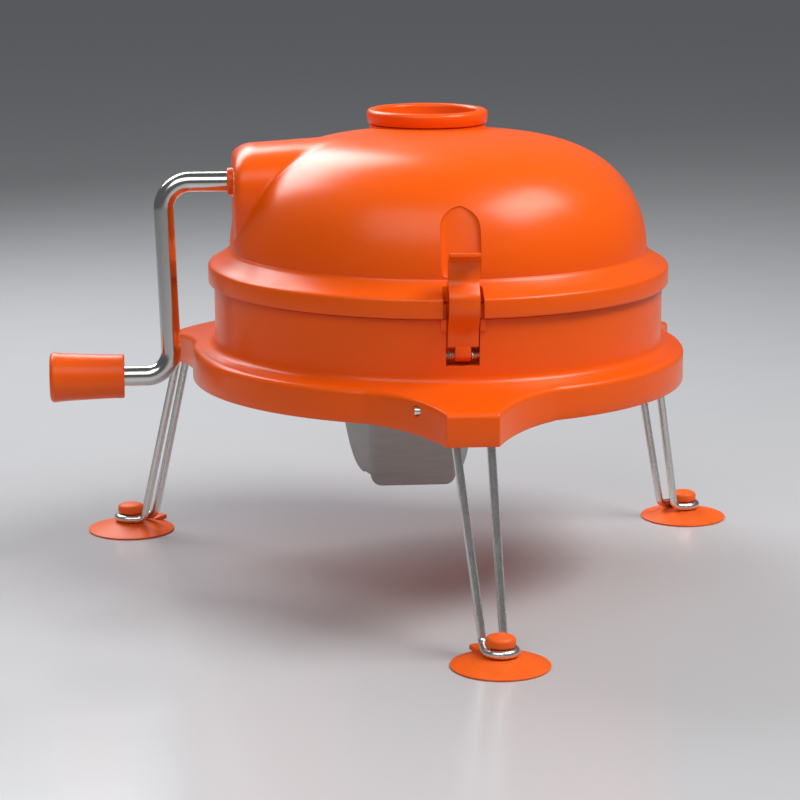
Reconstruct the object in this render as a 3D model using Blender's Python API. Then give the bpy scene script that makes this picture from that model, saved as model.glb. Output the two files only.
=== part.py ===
"""Hand-cranked vegetable cutter on three sprung wire legs.

Sizes are in millimetres and are turned into metres where a mesh is made.
The body axis is vertical. The latch is at -Y, the cover's hinge at +Y, the crank at -X.
"""

import bmesh
import bpy
from math import acos, atan2, cos, hypot, pi, radians, sin, sqrt, tan
from mathutils import Matrix, Vector

MM = 0.001
GAP = 0.3

# Sizes that lead the others: the flange across and the floor's height
FLANGE_R = 139.3
FLOOR_TOP = 141.0

# Base housing
DRUM_R = FLANGE_R - 3.6
DRUM_WALL = 3.0
RIM_STEP = 0.5
FLOOR_THICK = 3.5
SKIRT_R = DRUM_R + 13.8
SKIRT_TOP = FLOOR_TOP - 0.5
SKIRT_BOTTOM = SKIRT_TOP - 19.9
SKIRT_ROUND = 3.0
RIM_TOP = FLOOR_TOP + 46.0

# Lobes that carry the legs
LOBE_TIPS = {"front": SKIRT_R + 37.5, "left": SKIRT_R + 33.5, "right": SKIRT_R + 33.5}
LOBE_HALF = 14.7
LOBE_WALL = 3.0
LOBE_ROOF = 2.0
LOBE_EDGE = 3.0
LOBE_DROOPS = {"front": 0.065, "left": 0.085, "right": 0.085}
LOBE_DROOP_BELOW = 0.095

# Cover
FLANGE_WALL = 3.0
FLANGE_BOTTOM = RIM_TOP - 7.9
FLANGE_BAND_TOP = RIM_TOP + 3.0
SHOULDER_RISE = 8.0
DOME_R = FLANGE_R - 13.0
DOME_Z = FLANGE_BAND_TOP + SHOULDER_RISE
DOME_HEIGHT = 70.0
DOME_WALL = 3.0
DOME_SIDE_POWER = 3.75
DOME_TOP_POWER = 2.0

# Shaft housing on the cover
BULGE_FACE = DOME_R - 2.3
BULGE_HALF = 38.0
BULGE_MIDDLE = DOME_Z + DOME_HEIGHT - 30.0
BULGE_POWER = 2.4
BULGE_WALL = 3.0
BULGE_TOP = DOME_Z + DOME_HEIGHT - 5.5
BULGE_TOP_INNER = BULGE_TOP + 3.5
BULGE_INNER_X = BULGE_FACE - 64.0
BULGE_CORNER = 11.5
BULGE_SIDE_CORNER = 4.5

# Feed throat and its pusher cup
FEED_X = -1.5
FEED_Y = 52.0
THROAT_R = 34.5
THROAT_WALL = 2.5
COLLAR_R = THROAT_R + 1.4
COLLAR_TOP = DOME_Z + DOME_HEIGHT + 0.3
CUP_WALL = 2.0
CUP_FIT = 0.6
CUP_RIM_R = COLLAR_R + 1.6
CUP_RIM_TOP = COLLAR_TOP + 8.9
CUP_MOUTH_R = CUP_RIM_R - 6.7
CUP_FLOOR = 2.5

# Latch
LATCH_HALF = 8.7
LATCH_THICK = 2.6
LATCH_PIN_Y = DRUM_R - 3.6
LATCH_SLOT_HALF = 9.5
LATCH_SLOT_BOTTOM = FLOOR_TOP + 11.0
LATCH_PIN_Z = LATCH_SLOT_BOTTOM + 5.5
LATCH_PIN_R = 1.5
LATCH_PIN_HALF = 13.0
LATCH_BARREL_R = 3.4
LATCH_FOOT_HALF = 4.5
POCKET_BACK = LATCH_PIN_Y - 3.8
POCKET_WALL = 2.7
HOOK_Z = DOME_Z - 1.0
HOOK_THICK = 2.6
HOOK_REACH = 2.3
TAB_TOP = DOME_Z + 19.5
SCOOP_HALF = 11.5
SCOOP_TOP = DOME_Z + 41.0
SCOOP_STEP = 5.0
SCOOP_DEPTH = 11.8
NOTCH_BACK = FLANGE_R - 10.5

# Cover hinge
HINGE_Y = FLANGE_R + 8.7
HINGE_Z = RIM_TOP - 4.0
KNUCKLE_R = 5.0
HINGE_PIN_R = 2.0
COVER_KNUCKLE_HALF = 11.0
BASE_KNUCKLE_LENGTH = 8.0

# Crank
CRANK_Z = BULGE_TOP - 22.5
ROD_R = 6.0
JOURNAL_R = 3.5
CRANK_THROW = 118.0
ARM_TOP_X = SKIRT_R + 16.4
ARM_BOTTOM_X = SKIRT_R + 12.5
UPPER_BEND = 16.0
LOWER_BEND = 15.0
SHAFT_SHOULDER = 43.4
OUTER_BUSH_WALL = 2.2
SHAFT_BOSS_WALL = 3.0
SHAFT_BOSS_PROUD = 3.5
SHAFT_LIP_WALL = 1.6
SHAFT_BOSS_DEPTH = 13.0

# Grip
GRIP_INNER_X = ARM_BOTTOM_X + 29.0
GRIP_LENGTH = 44.7
GRIP_R_INNER = 13.5
GRIP_R_OUTER = 15.25
GRIP_SCREW_R = 2.2
GRIP_SCREW_HEAD_R = 4.8
GRIP_SCREW_HEAD = 3.2
GRIP_RECESS = 5.8
GRIP_WEB = 4.0
GRIP_SCREW_GRIP = 13.0

# Bevel gears
MODULE = 2.0
GEAR_TEETH = 15
PINION_TEETH = 10
PRESSURE = radians(20.0)
TOOTH_HEIGHT = 0.8
TOOTH_SHARE = 0.42
GEAR_FACE = 5.0
GEAR_HUB_R = 9.5
PINION_HUB_R = 6.8
CROSS_PIN_R = 1.2

# Carrier and spindle
SPINDLE_R = 5.0
SPINDLE_BUSH_WALL = 1.7
CARRIER_HALF = 13.0
CARRIER_WALL = 6.0
CARRIER_RIGHT = 26.0
CARRIER_BOTTOM = CRANK_Z - 37.0
CARRIER_TOP = CRANK_Z + 18.5
CARRIER_BOSS_DROP = 7.0
CARRIER_BOSS_WALL = 2.4
BOSS_R = 4.8
CARRIER_SCREW_R = 2.0
CARRIER_SCREW_HEAD_R = 3.6
SCREW_HEAD = 2.4

# Cutting disc
DISC_R = DRUM_R - 18.4
DISC_BOTTOM = FLOOR_TOP + 31.0
DISC_THICK = 3.0
COLLAR_HEIGHT = 6.0
SPINDLE_COLLAR_R = 8.0
BLADE_COUNT = 3
BLADE_INNER = 22.0
BLADE_LENGTH = DISC_R - BLADE_INNER - 26.0
BLADE_THICK = 1.0
BLADE_SEAT = 8.0
BLADE_EDGE = 7.0
BLADE_RISE = 0.9
SLOT_WIDTH = 11.0
BLADE_SCREW_R = 1.5
BLADE_SCREW_HEAD_R = 2.7
BLADE_SCREW_HEAD = 1.0
NUT_R = 11.0
NUT_HEIGHT = 10.0

# Legs: one wire each, whose ends turn outwards and pivot in the lobe's flanks.
# Each has its lobe's bearing, the side of its open loop, and how far its foot stands out and across.
PIVOT_R = SKIRT_R + 13.5
PIVOT_Z = SKIRT_TOP - 7.7
LEGS = (("front", -90.0, 1, PIVOT_R + 47.25, 12.94), ("left", 151.4, 1, PIVOT_R + 51.0, 5.0),
        ("right", 34.0, -1, PIVOT_R + 36.7, 16.0))
WIRE_R = 2.5
PIVOT_OPEN_END = 30.0
PIVOT_BLIND_END = 24.0
PIVOT_BEND = 4.0
PIVOT_BLOCK_FROM = 15.0
PIVOT_BLOCK_TO = 26.5
PIVOT_BLOCK_HALF = 5.5
LEG_ELBOW_R = PIVOT_R + 10.0
LEG_ELBOW_BEND = 4.5
LEG_SPREADS = {"front": 10.3, "left": 6.5, "right": 9.8}
CUP_TAB_TURNS = {"front": 201.0, "left": -106.4, "right": 72.0}
FOOT_APPROACH = 13.0
LOOP_BEND = 5.0

# Suction cups
CUP_PAD_R = 27.75
CUP_PAD_RING = 3.5
CUP_NECK_R = 5.5
CUP_KNOB_R = 8.3
CUP_KNOB_HEIGHT = 6.4
CUP_HUB_TOP = 5.8
CUP_HUB_R = 9.5
CUP_LIP = 1.1
CUP_TAB_HALF = 5.0

# Discharge guide: bent sheet under the floor
GUIDE_X = -14.0
GUIDE_HALF = 26.5
GUIDE_Y = 8.0
GUIDE_SHEET = 1.2
GUIDE_BOTTOM = 48.0
GUIDE_WING = 40.0
GUIDE_FLARE = radians(24.0)
GUIDE_TAB = 14.0
GUIDE_SCREW_R = 1.8
GUIDE_SCREW_HEAD_R = 3.4

SIDES = 48

# Sizes that follow from those above
DRUM_IN = DRUM_R - DRUM_WALL
FLOOR_BOTTOM = FLOOR_TOP - FLOOR_THICK
RIM_R = DRUM_R - RIM_STEP
SKIRT_IN = SKIRT_R - LOBE_WALL
LOBE_BOTTOM = SKIRT_BOTTOM + LOBE_DROOP_BELOW * (SKIRT_R - DRUM_R)
SEAT_Z = RIM_TOP + GAP
SEAT_IN = DOME_R - DOME_WALL
THROAT_IN = THROAT_R - THROAT_WALL
DISC_TOP = DISC_BOTTOM + DISC_THICK
BLADE_TOP = DISC_TOP + GAP + BLADE_THICK + BLADE_RISE
THROAT_BOTTOM = BLADE_TOP + 1.1
CUP_R = THROAT_IN - CUP_FIT
CUP_FOOT = COLLAR_TOP + GAP
PUSHER_BOTTOM = THROAT_BOTTOM + 1.7
LOOP_R = CUP_NECK_R + GAP + WIRE_R
LOOP_Z = CUP_HUB_TOP + GAP + WIRE_R
KNOB_BOTTOM = LOOP_Z + WIRE_R + GAP
GRIP_OUTER_X = GRIP_INNER_X + GRIP_LENGTH
GRIP_Z = CRANK_Z - CRANK_THROW
BUSH_R = ROD_R + GAP + OUTER_BUSH_WALL
SHAFT_BOSS_R = BUSH_R + GAP + SHAFT_BOSS_WALL
SHAFT_LIP_R = ROD_R + 2 * GAP + SHAFT_LIP_WALL
GEAR_R = MODULE * GEAR_TEETH / 2
PINION_R = MODULE * PINION_TEETH / 2
CONE_LENGTH = hypot(GEAR_R, PINION_R)
SPINDLE_BUSH_R = SPINDLE_R + GAP + SPINDLE_BUSH_WALL
CARRIER_LEFT = SHAFT_SHOULDER - 1.4
INNER_BUSH_R = JOURNAL_R + GAP + SPINDLE_BUSH_WALL
INNER_BUSH_END = CARRIER_LEFT - CARRIER_WALL
CARRIER_SCREWS = [(-CARRIER_LEFT + 5.0, -8.0), (-CARRIER_LEFT + 5.0, 8.0),
                  (CARRIER_RIGHT - 5.5, -8.0), (CARRIER_RIGHT - 5.5, 8.0)]
GUIDE_SCREWS = [(GUIDE_X - 11.0, GUIDE_Y - 7.0), (GUIDE_X + 11.0, GUIDE_Y - 7.0)]


def foot_place(bearing, hand, reach, aside):
    """Centre of a suction cup on the ground, from its lobe's bearing in degrees."""
    along = Vector((cos(radians(bearing)), sin(radians(bearing))))
    across = Vector((-along.y, along.x))
    return along * reach + across * (aside * hand)


FEET = {name: foot_place(*place) for name, *place in LEGS}
SHIFT_X = -(FEET["right"].x + CUP_PAD_R - GRIP_OUTER_X) / 2
SHIFT_Y = -(HINGE_Y + KNUCKLE_R + FEET["front"].y - CUP_PAD_R) / 2

for leftover in list(bpy.data.objects):
    bpy.data.objects.remove(leftover, do_unlink=True)

origin = bpy.data.objects.new("body_axis", None)
origin.location = (SHIFT_X * MM, SHIFT_Y * MM, 0)
bpy.context.scene.collection.objects.link(origin)


def material(name, colour, roughness, metallic=0.0):
    made = bpy.data.materials.new(name)
    made.use_nodes = True
    shader = made.node_tree.nodes["Principled BSDF"]
    shader.inputs["Base Color"].default_value = (*colour, 1)
    shader.inputs["Roughness"].default_value = roughness
    shader.inputs["Metallic"].default_value = metallic
    return made


ORANGE = (0.85, 0.13, 0.01)
STEEL = (0.62, 0.61, 0.58)
LOOKS = {
    "plastic": (ORANGE, 0.3, 0.0),
    "rubber": ((0.88, 0.14, 0.015), 0.45, 0.0),
    "polished": ((0.75, 0.74, 0.72), 0.12, 1.0),
    "steel": (STEEL, 0.32, 1.0),
    "sheet": ((0.55, 0.55, 0.54), 0.4, 1.0),
    "alloy": ((0.5, 0.5, 0.5), 0.45, 1.0),
    "bronze": ((0.55, 0.36, 0.16), 0.4, 1.0),
    "nylon": ((0.8, 0.79, 0.74), 0.5, 0.0),
}


def finish(name, bm, look=None, pivot=(0, 0, 0), smooth=30.0):
    """Turn a bmesh in millimetres into an object in metres whose origin is the pivot."""
    bmesh.ops.remove_doubles(bm, verts=bm.verts, dist=0.0005)
    bmesh.ops.recalc_face_normals(bm, faces=bm.faces)
    centre = Vector(pivot)
    bmesh.ops.transform(bm, matrix=Matrix.Scale(MM, 4) @ Matrix.Translation(-centre), verts=bm.verts)
    mesh = bpy.data.meshes.new(name)
    bm.to_mesh(mesh)
    bm.free()
    mesh.shade_smooth()
    mesh.set_sharp_from_angle(angle=radians(smooth))
    thing = bpy.data.objects.new(name, mesh)
    thing.location = centre * MM
    thing.parent = origin
    bpy.context.scene.collection.objects.link(thing)
    if look:
        colour, roughness, metallic = LOOKS[look]
        mesh.materials.append(material(name + "_material", colour, roughness, metallic))
    return thing


def shape(thing, tool_bm, operation):
    """Cut or join a helper body, in millimetres, with the thing. The helper comes back."""
    number = len(thing.modifiers) + 1
    tool = finish(f"{thing.name}_tool_{number}", tool_bm)
    tool.hide_render = True
    tool.display_type = "WIRE"
    step = thing.modifiers.new(f"{operation.lower()}_{number}", "BOOLEAN")
    step.operation = operation
    step.solver = "EXACT"
    step.object = tool
    return tool


def cut(thing, tool_bm):
    return shape(thing, tool_bm, "DIFFERENCE")


def join(thing, tool_bm):
    return shape(thing, tool_bm, "UNION")


def turned(outline, centre=(0, 0), sides=SIDES):
    """Spin a closed (radius, height) outline about the vertical line through the centre."""
    bm = bmesh.new()
    points = [bm.verts.new((radius, 0, height)) for radius, height in outline]
    edges = []
    for first, second in zip(points, points[1:] + points[:1]):
        both_on_axis = first.co.x < 1e-6 and second.co.x < 1e-6
        if not both_on_axis:
            edges.append(bm.edges.new((first, second)))
    bmesh.ops.spin(bm, geom=points + edges, cent=(0, 0, 0), axis=(0, 0, 1), angle=2 * pi,
                   steps=sides, use_merge=True, use_normal_flip=False)
    bmesh.ops.remove_doubles(bm, verts=bm.verts, dist=0.0005)
    bmesh.ops.translate(bm, vec=(centre[0], centre[1], 0), verts=bm.verts)
    return bm


def along_x(bm, centre_y, centre_z):
    """Lay a turned body on its side: its height becomes -X."""
    bmesh.ops.transform(bm, matrix=Matrix.Rotation(-pi / 2, 4, "Y"), verts=bm.verts)
    bmesh.ops.translate(bm, vec=(0, centre_y, centre_z), verts=bm.verts)
    return bm


def rod(radius, x_from, x_to, centre_y, centre_z, sides=16):
    """Round bar along X, between two places given as distances towards -X."""
    outline = [(0, x_from), (radius, x_from), (radius, x_to), (0, x_to)]
    return along_x(turned(outline, sides=sides), centre_y, centre_z)


def drum(radius, bottom, top, centre=(0, 0), sides=32):
    """Round bar along Z."""
    return turned([(0, bottom), (radius, bottom), (radius, top), (0, top)], centre, sides)


def tube(inner, outer, bottom, top, centre=(0, 0), sides=32):
    return turned([(inner, bottom), (outer, bottom), (outer, top), (inner, top)], centre, sides)


def slab(x0, x1, y0, y1, z0, z1):
    bm = bmesh.new()
    size = Matrix.Diagonal((x1 - x0, y1 - y0, z1 - z0, 1))
    middle = Matrix.Translation(((x0 + x1) / 2, (y0 + y1) / 2, (z0 + z1) / 2))
    bmesh.ops.create_cube(bm, size=1, matrix=middle @ size)
    return bm


def prism(outline, direction):
    """Extrude a closed outline of 3-D points along a direction."""
    bm = bmesh.new()
    face = bm.faces.new([bm.verts.new(point) for point in outline])
    grown = bmesh.ops.extrude_face_region(bm, geom=[face])
    moved = [item for item in grown["geom"] if isinstance(item, bmesh.types.BMVert)]
    bmesh.ops.translate(bm, vec=direction, verts=moved)
    bmesh.ops.recalc_face_normals(bm, faces=bm.faces)
    return bm


def side_prism(outline, half, middle=0.0):
    """Extrude a (y, z) outline along X, as far to each side of the middle."""
    return prism([(middle - half, y, z) for y, z in outline], (2 * half, 0, 0))


def stack(levels):
    """Loft rectangles of half width, back and front, one at each height."""
    bm = bmesh.new()
    rings = []
    for z, half, back, front in levels:
        corners = [(-half, back), (half, back), (half, front), (-half, front)]
        rings.append([bm.verts.new((x, y, z)) for x, y in corners])
    skin(bm, rings)
    return bm


def skin(bm, rings, closed=False):
    """Join rings of equally many vertices, and cap the ends unless the row is closed."""
    pairs = list(zip(rings, rings[1:]))
    if closed:
        pairs.append((rings[-1], rings[0]))
    for lower, upper in pairs:
        count = len(lower)
        for index in range(count):
            after = (index + 1) % count
            bm.faces.new((lower[index], lower[after], upper[after], upper[index]))
    if not closed:
        bm.faces.new(list(reversed(rings[0])))
        bm.faces.new(rings[-1])


def sweep(path, radii, sides=8):
    """Round bar along a path, with a radius at each of its points."""
    bm = bmesh.new()
    tangents = []
    for index, point in enumerate(path):
        before = path[max(index - 1, 0)]
        after = path[min(index + 1, len(path) - 1)]
        tangents.append((after - before).normalized())
    start = Vector((0, 1, 0)) if abs(tangents[0].y) < 0.9 else Vector((1, 0, 0))
    across = (start - tangents[0] * start.dot(tangents[0])).normalized()
    rings = []
    for point, tangent, radius in zip(path, tangents, radii):
        across = (across - tangent * across.dot(tangent)).normalized()
        other = tangent.cross(across)
        ring = []
        for index in range(sides):
            turn = 2 * pi * (index + 0.5) / sides
            ring.append(bm.verts.new(point + (across * cos(turn) + other * sin(turn)) * radius))
        rings.append(ring)
    skin(bm, rings)
    return bm


def bend(before, corner, after, radius, steps=4):
    """Points of the arc that rounds a corner."""
    into = (corner - before).normalized()
    out = (after - corner).normalized()
    turn = acos(max(-1.0, min(1.0, into.dot(out))))
    reach = radius * tan(turn / 2)
    first = corner - into * reach
    inward = (out - into * into.dot(out)).normalized()
    points = []
    for index in range(steps + 1):
        angle = turn * index / steps
        points.append(first + into * (radius * sin(angle)) + inward * (radius * (1 - cos(angle))))
    return points


def arc(centre_a, centre_b, radius, start, end, steps):
    """Points of an arc in a plane, from a start to an end angle in degrees."""
    points = []
    for index in range(steps + 1):
        angle = radians(start + (end - start) * index / steps)
        points.append((centre_a + radius * cos(angle), centre_b + radius * sin(angle)))
    return points


def dome_curve(radius, height, steps=10):
    """Upper right quarter of the dome's section, from the axis down to its foot."""
    points = []
    for index in range(steps + 1):
        turn = pi / 2 * (1 - index / steps)
        across = max(0.0, cos(turn)) ** (2 / DOME_SIDE_POWER)
        up = max(0.0, sin(turn)) ** (2 / DOME_TOP_POWER)
        points.append((radius * across if index else 0.0, DOME_Z + height * up))
    return points


def turned_about_axis(bm, bearing):
    bmesh.ops.rotate(bm, cent=(0, 0, 0), matrix=Matrix.Rotation(radians(bearing), 3, "Z"),
                     verts=bm.verts)
    return bm


# Base housing


def lobe_outline(inset, tip):
    """Half outline of a lobe as (radius, across) pairs, from its face to the skirt."""
    start = Vector((tip - inset - 1, LOBE_HALF - inset * 0.9))
    middle = Vector((SKIRT_R + 8.5, LOBE_HALF + 13.0 - inset * 1.1))
    end = Vector((SKIRT_R - 9.0 + inset * 0.3, LOBE_HALF + 37.0 - inset * 1.3))
    points = [(tip - inset, start.y - 1.2)]
    for index in range(6):
        u = index / 5
        point = start * (1 - u) ** 2 + middle * (2 * u * (1 - u)) + end * u ** 2
        points.append((point.x, point.y))
    return points


def lobe_prism(name, inset, bottom, top, inner):
    """Lobe body on a bearing of +X, drooping towards its tip."""
    half = lobe_outline(inset, LOBE_TIPS[name])
    outline = [(radius, -across) for radius, across in half] + [(inner, -half[-1][1])]
    outline += [(inner, half[-1][1])] + [(radius, across) for radius, across in reversed(half)]
    bm = prism([(radius, across, bottom) for radius, across in outline], (0, 0, top - bottom))
    for vert in bm.verts:
        droop = LOBE_DROOP_BELOW if vert.co.z < bottom + 0.1 else LOBE_DROOPS[name]
        vert.co.z -= droop * (vert.co.x - DRUM_R)
    return bm


def rounded_lobe(name, bearing):
    bm = lobe_prism(name, 0.0, LOBE_BOTTOM, SKIRT_TOP - 0.1, DRUM_IN + 3.0)
    edges = []
    for edge in bm.edges:
        low = min(vert.co.z for vert in edge.verts)
        near = min(vert.co.x for vert in edge.verts)
        if low > (LOBE_BOTTOM + SKIRT_TOP) / 2 and near > SKIRT_R - 5.0:
            edges.append(edge)
    bmesh.ops.bevel(bm, geom=edges, offset=LOBE_EDGE, segments=2, profile=0.5, affect="EDGES")
    return turned_about_axis(bm, bearing)


def make_base():
    edge = arc(SKIRT_R - SKIRT_ROUND, SKIRT_TOP - SKIRT_ROUND, SKIRT_ROUND, 80, 0, 3)
    outline = [(0, FLOOR_TOP), (DRUM_IN - 2.0, FLOOR_TOP), (DRUM_IN, FLOOR_TOP + 2.0)]
    outline += [(DRUM_IN, RIM_TOP), (RIM_R, RIM_TOP), (RIM_R, FLANGE_BOTTOM - 0.3)]
    outline += [(DRUM_R, FLANGE_BOTTOM - 0.9), (DRUM_R, SKIRT_TOP + 6.0)]
    outline += [(DRUM_R + 1.2, SKIRT_TOP + 2.6), (DRUM_R + 4.4, SKIRT_TOP + 0.8)]
    outline += edge + [(SKIRT_R, SKIRT_BOTTOM), (SKIRT_IN, SKIRT_BOTTOM)]
    outline += [(SKIRT_IN, FLOOR_BOTTOM), (0, FLOOR_BOTTOM)]
    base = finish("base_housing", turned(outline), "plastic")
    pocket_front = RIM_R - 1.1
    join(base, slab(-LATCH_SLOT_HALF - 4.5, LATCH_SLOT_HALF + 4.5, -pocket_front,
                    -POCKET_BACK + POCKET_WALL, FLOOR_TOP - 1.0, RIM_TOP))
    for name, bearing, *_ in LEGS:
        join(base, rounded_lobe(name, bearing))
    for name, bearing, *_ in LEGS:
        cut(base, turned_about_axis(
            lobe_prism(name, LOBE_WALL, LOBE_BOTTOM - 10, SKIRT_TOP - LOBE_ROOF, DRUM_IN), bearing))
    for _, bearing, hand, *_ in LEGS:
        for side in (-1, 1):
            block = slab(PIVOT_R - PIVOT_BLOCK_HALF, PIVOT_R + PIVOT_BLOCK_HALF, side * PIVOT_BLOCK_FROM,
                         side * PIVOT_BLOCK_TO, PIVOT_Z - PIVOT_BLOCK_HALF, PIVOT_Z + 4.0)
            bmesh.ops.recalc_face_normals(block, faces=block.faces)
            join(base, turned_about_axis(block, bearing))
        ends = sorted((-hand * (PIVOT_OPEN_END + 9), hand * (PIVOT_BLIND_END + GAP)))
        cut(base, turned_about_axis(across_rod(WIRE_R + GAP, *ends), bearing))
    cut(base, slab(-LATCH_SLOT_HALF, LATCH_SLOT_HALF, -FLANGE_R - 5, -POCKET_BACK,
                   LATCH_SLOT_BOTTOM, RIM_TOP + 5))
    cut(base, rod(LATCH_PIN_R + GAP, -LATCH_PIN_HALF - GAP, LATCH_PIN_HALF + GAP,
                  -LATCH_PIN_Y, LATCH_PIN_Z, 12))
    ear = [(DRUM_R - 1.9, FLANGE_BOTTOM - 0.6), (HINGE_Y - KNUCKLE_R, FLANGE_BOTTOM - 0.6)]
    ear += arc(HINGE_Y, HINGE_Z, KNUCKLE_R, 180, 0, 7)
    ear += [(HINGE_Y + KNUCKLE_R, FLANGE_BOTTOM - 3), (HINGE_Y - 7, FLANGE_BOTTOM - 16)]
    ear += [(DRUM_R - 1.9, FLANGE_BOTTOM - 16)]
    for side in (-1, 1):
        middle = side * (COVER_KNUCKLE_HALF + GAP + BASE_KNUCKLE_LENGTH / 2)
        join(base, side_prism(ear, BASE_KNUCKLE_LENGTH / 2, middle))
    reach = COVER_KNUCKLE_HALF + BASE_KNUCKLE_LENGTH + 5
    cut(base, rod(HINGE_PIN_R + GAP, -reach, reach, HINGE_Y, HINGE_Z, 16))
    for x, y in GUIDE_SCREWS:
        join(base, drum(GUIDE_SCREW_R + 3.0, FLOOR_TOP - 1.0, FLOOR_TOP + 4.0, (x, y), 16))
        cut(base, drum(GUIDE_SCREW_R + GAP, FLOOR_BOTTOM - 5, FLOOR_TOP + 2.0, (x, y), 12))
    cut(base, discharge_window())
    return base


def across_rod(radius, t_from, t_to):
    """Round bar on the pivot line of a lobe whose bearing is +X."""
    bm = turned([(0, t_from), (radius, t_from), (radius, t_to), (0, t_to)], sides=12)
    bmesh.ops.transform(bm, matrix=Matrix.Rotation(-pi / 2, 4, "X"), verts=bm.verts)
    bmesh.ops.translate(bm, vec=(PIVOT_R, 0, PIVOT_Z), verts=bm.verts)
    return bm


def discharge_window():
    """Hole in the floor behind the guide's front plate, between its wings."""
    spread = GUIDE_WING * sin(GUIDE_FLARE)
    depth = GUIDE_WING * cos(GUIDE_FLARE)
    front = GUIDE_Y + 4.0
    left = GUIDE_X - GUIDE_HALF + 4.0
    right = GUIDE_X + GUIDE_HALF - 4.0
    back = FEED_Y + THROAT_IN
    outline = [(left, front), (right, front), (right + spread - 2, GUIDE_Y + depth)]
    outline += [(right + spread - 2, back - 6), (right + spread - 8, back)]
    outline += [(left - spread + 8, back), (left - spread + 2, back - 6)]
    outline += [(left - spread + 2, GUIDE_Y + depth)]
    height = FLOOR_THICK + 10
    return prism([(x, y, FLOOR_BOTTOM - 5) for x, y in outline], (0, 0, height))


def guide_outline():
    """Top view of the bent sheet: front plate with two wings that flare back."""
    slant = Vector((sin(GUIDE_FLARE), cos(GUIDE_FLARE)))
    normal = Vector((cos(GUIDE_FLARE), -sin(GUIDE_FLARE)))
    right = Vector((GUIDE_HALF, 0))
    tip = right + slant * GUIDE_WING
    outer = [right + Vector((-1.6, 0)), right + slant * 1.6, tip]
    shrink = GUIDE_SHEET
    inner = [tip - normal * shrink, right + slant * 2.6 - normal * shrink,
             right + Vector((-2.2, shrink))]
    half = outer + inner
    points = [(GUIDE_X + p.x, GUIDE_Y + p.y) for p in half]
    points += [(GUIDE_X - p.x, GUIDE_Y + p.y) for p in reversed(half)]
    return points


def make_guide():
    top = FLOOR_BOTTOM - GAP
    sheet = prism([(x, y, GUIDE_BOTTOM) for x, y in guide_outline()], (0, 0, top - GUIDE_BOTTOM))
    guide = finish("discharge_guide", sheet, "sheet")
    span = GUIDE_HALF - 3.0
    join(guide, slab(GUIDE_X - span, GUIDE_X + span, GUIDE_Y - GUIDE_TAB, GUIDE_Y + 0.5,
                     top - GUIDE_SHEET, top))
    depth = GUIDE_WING * cos(GUIDE_FLARE)
    lower = [(GUIDE_Y + GUIDE_SHEET + 0.8, GUIDE_BOTTOM - 2), (GUIDE_Y + depth + 5, GUIDE_BOTTOM - 2)]
    lower += [(GUIDE_Y + depth + 5, GUIDE_BOTTOM + 62)]
    for index in range(7):
        share = 1 - index / 6
        lower.append((GUIDE_Y + GUIDE_SHEET + 0.8 + (depth - 1.0) * share ** 0.75,
                      GUIDE_BOTTOM + 6.5 + 52 * share ** 2.2))
    cut(guide, side_prism(lower, GUIDE_HALF + GUIDE_WING, GUIDE_X))
    corner = 7.0
    for side in (-1, 1):
        edge = GUIDE_X + side * (GUIDE_HALF + 3)
        start = GUIDE_X + side * (GUIDE_HALF - corner)
        curve = arc(start, GUIDE_BOTTOM + corner, corner, -90, -90 + side * 90, 4)
        outline = curve + [(edge, GUIDE_BOTTOM + corner), (edge, GUIDE_BOTTOM - 2)]
        outline.append((start, GUIDE_BOTTOM - 2))
        cut(guide, prism([(x, GUIDE_Y - 2, z) for x, z in outline], (0, 5 + GUIDE_SHEET, 0)))
    for x, y in GUIDE_SCREWS:
        cut(guide, drum(GUIDE_SCREW_R + GAP, top - 6, top + 6, (x, y), 12))
    for number, (x, y) in enumerate(GUIDE_SCREWS, 1):
        finish(f"guide_screw_{number}", screw_up(x, y, top - GUIDE_SHEET - GAP, GUIDE_SCREW_R,
                                                 GUIDE_SCREW_HEAD_R, FLOOR_TOP + 1.5), "steel")


def screw_up(x, y, head_top, radius, head_radius, tip):
    """Screw that points up, its head under the given height."""
    outline = [(0, head_top - SCREW_HEAD), (head_radius - 0.5, head_top - SCREW_HEAD),
               (head_radius, head_top - SCREW_HEAD + 0.6), (head_radius, head_top),
               (radius, head_top), (radius, tip), (0, tip)]
    return turned(outline, (x, y), 10)


# Cover


def bulge_ring(x, inset, shrink, narrow, sides=28):
    """Section of the shaft housing at an x: a half circle below, and a flatter arch above."""
    slope = (BULGE_TOP_INNER - BULGE_TOP) / (BULGE_FACE - BULGE_CORNER - BULGE_INNER_X)
    half = BULGE_HALF - inset - narrow
    tall = BULGE_TOP + slope * (x + BULGE_FACE - BULGE_CORNER) - inset - shrink - BULGE_MIDDLE
    ring = []
    for index in range(sides):
        across = cos(2 * pi * index / sides)
        rise = sin(2 * pi * index / sides)
        if rise > 0.001:
            across = abs(across) ** (2 / BULGE_POWER) * (1 if across > 0 else -1)
            ring.append((half * across, BULGE_MIDDLE + tall * rise ** (2 / BULGE_POWER)))
        else:
            ring.append((half * across, BULGE_MIDDLE + half * rise))
    return [Vector((x, y, z)) for y, z in ring]


def bulge_loft(inset, inner_x):
    """Shaft housing as a loft along X, rounded towards its flat outer face, more above than at its sides."""
    face = -BULGE_FACE + inset
    corner = BULGE_CORNER - inset
    side_corner = BULGE_SIDE_CORNER - inset
    bm = bmesh.new()
    rings = []
    for turn in (0, 18, 36, 54, 72, 90):
        step = corner * (1 - cos(radians(turn)))
        shrink = corner * (1 - sin(radians(turn)))
        left = max(0.0, side_corner - step)
        narrow = side_corner - sqrt(side_corner ** 2 - left ** 2)
        rings.append(bulge_ring(face + step, inset, shrink, narrow))
    rings.append(bulge_ring(-inner_x, inset, 0.0, 0.0))
    skin(bm, [[bm.verts.new(point) for point in ring] for ring in rings])
    return bm


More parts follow.
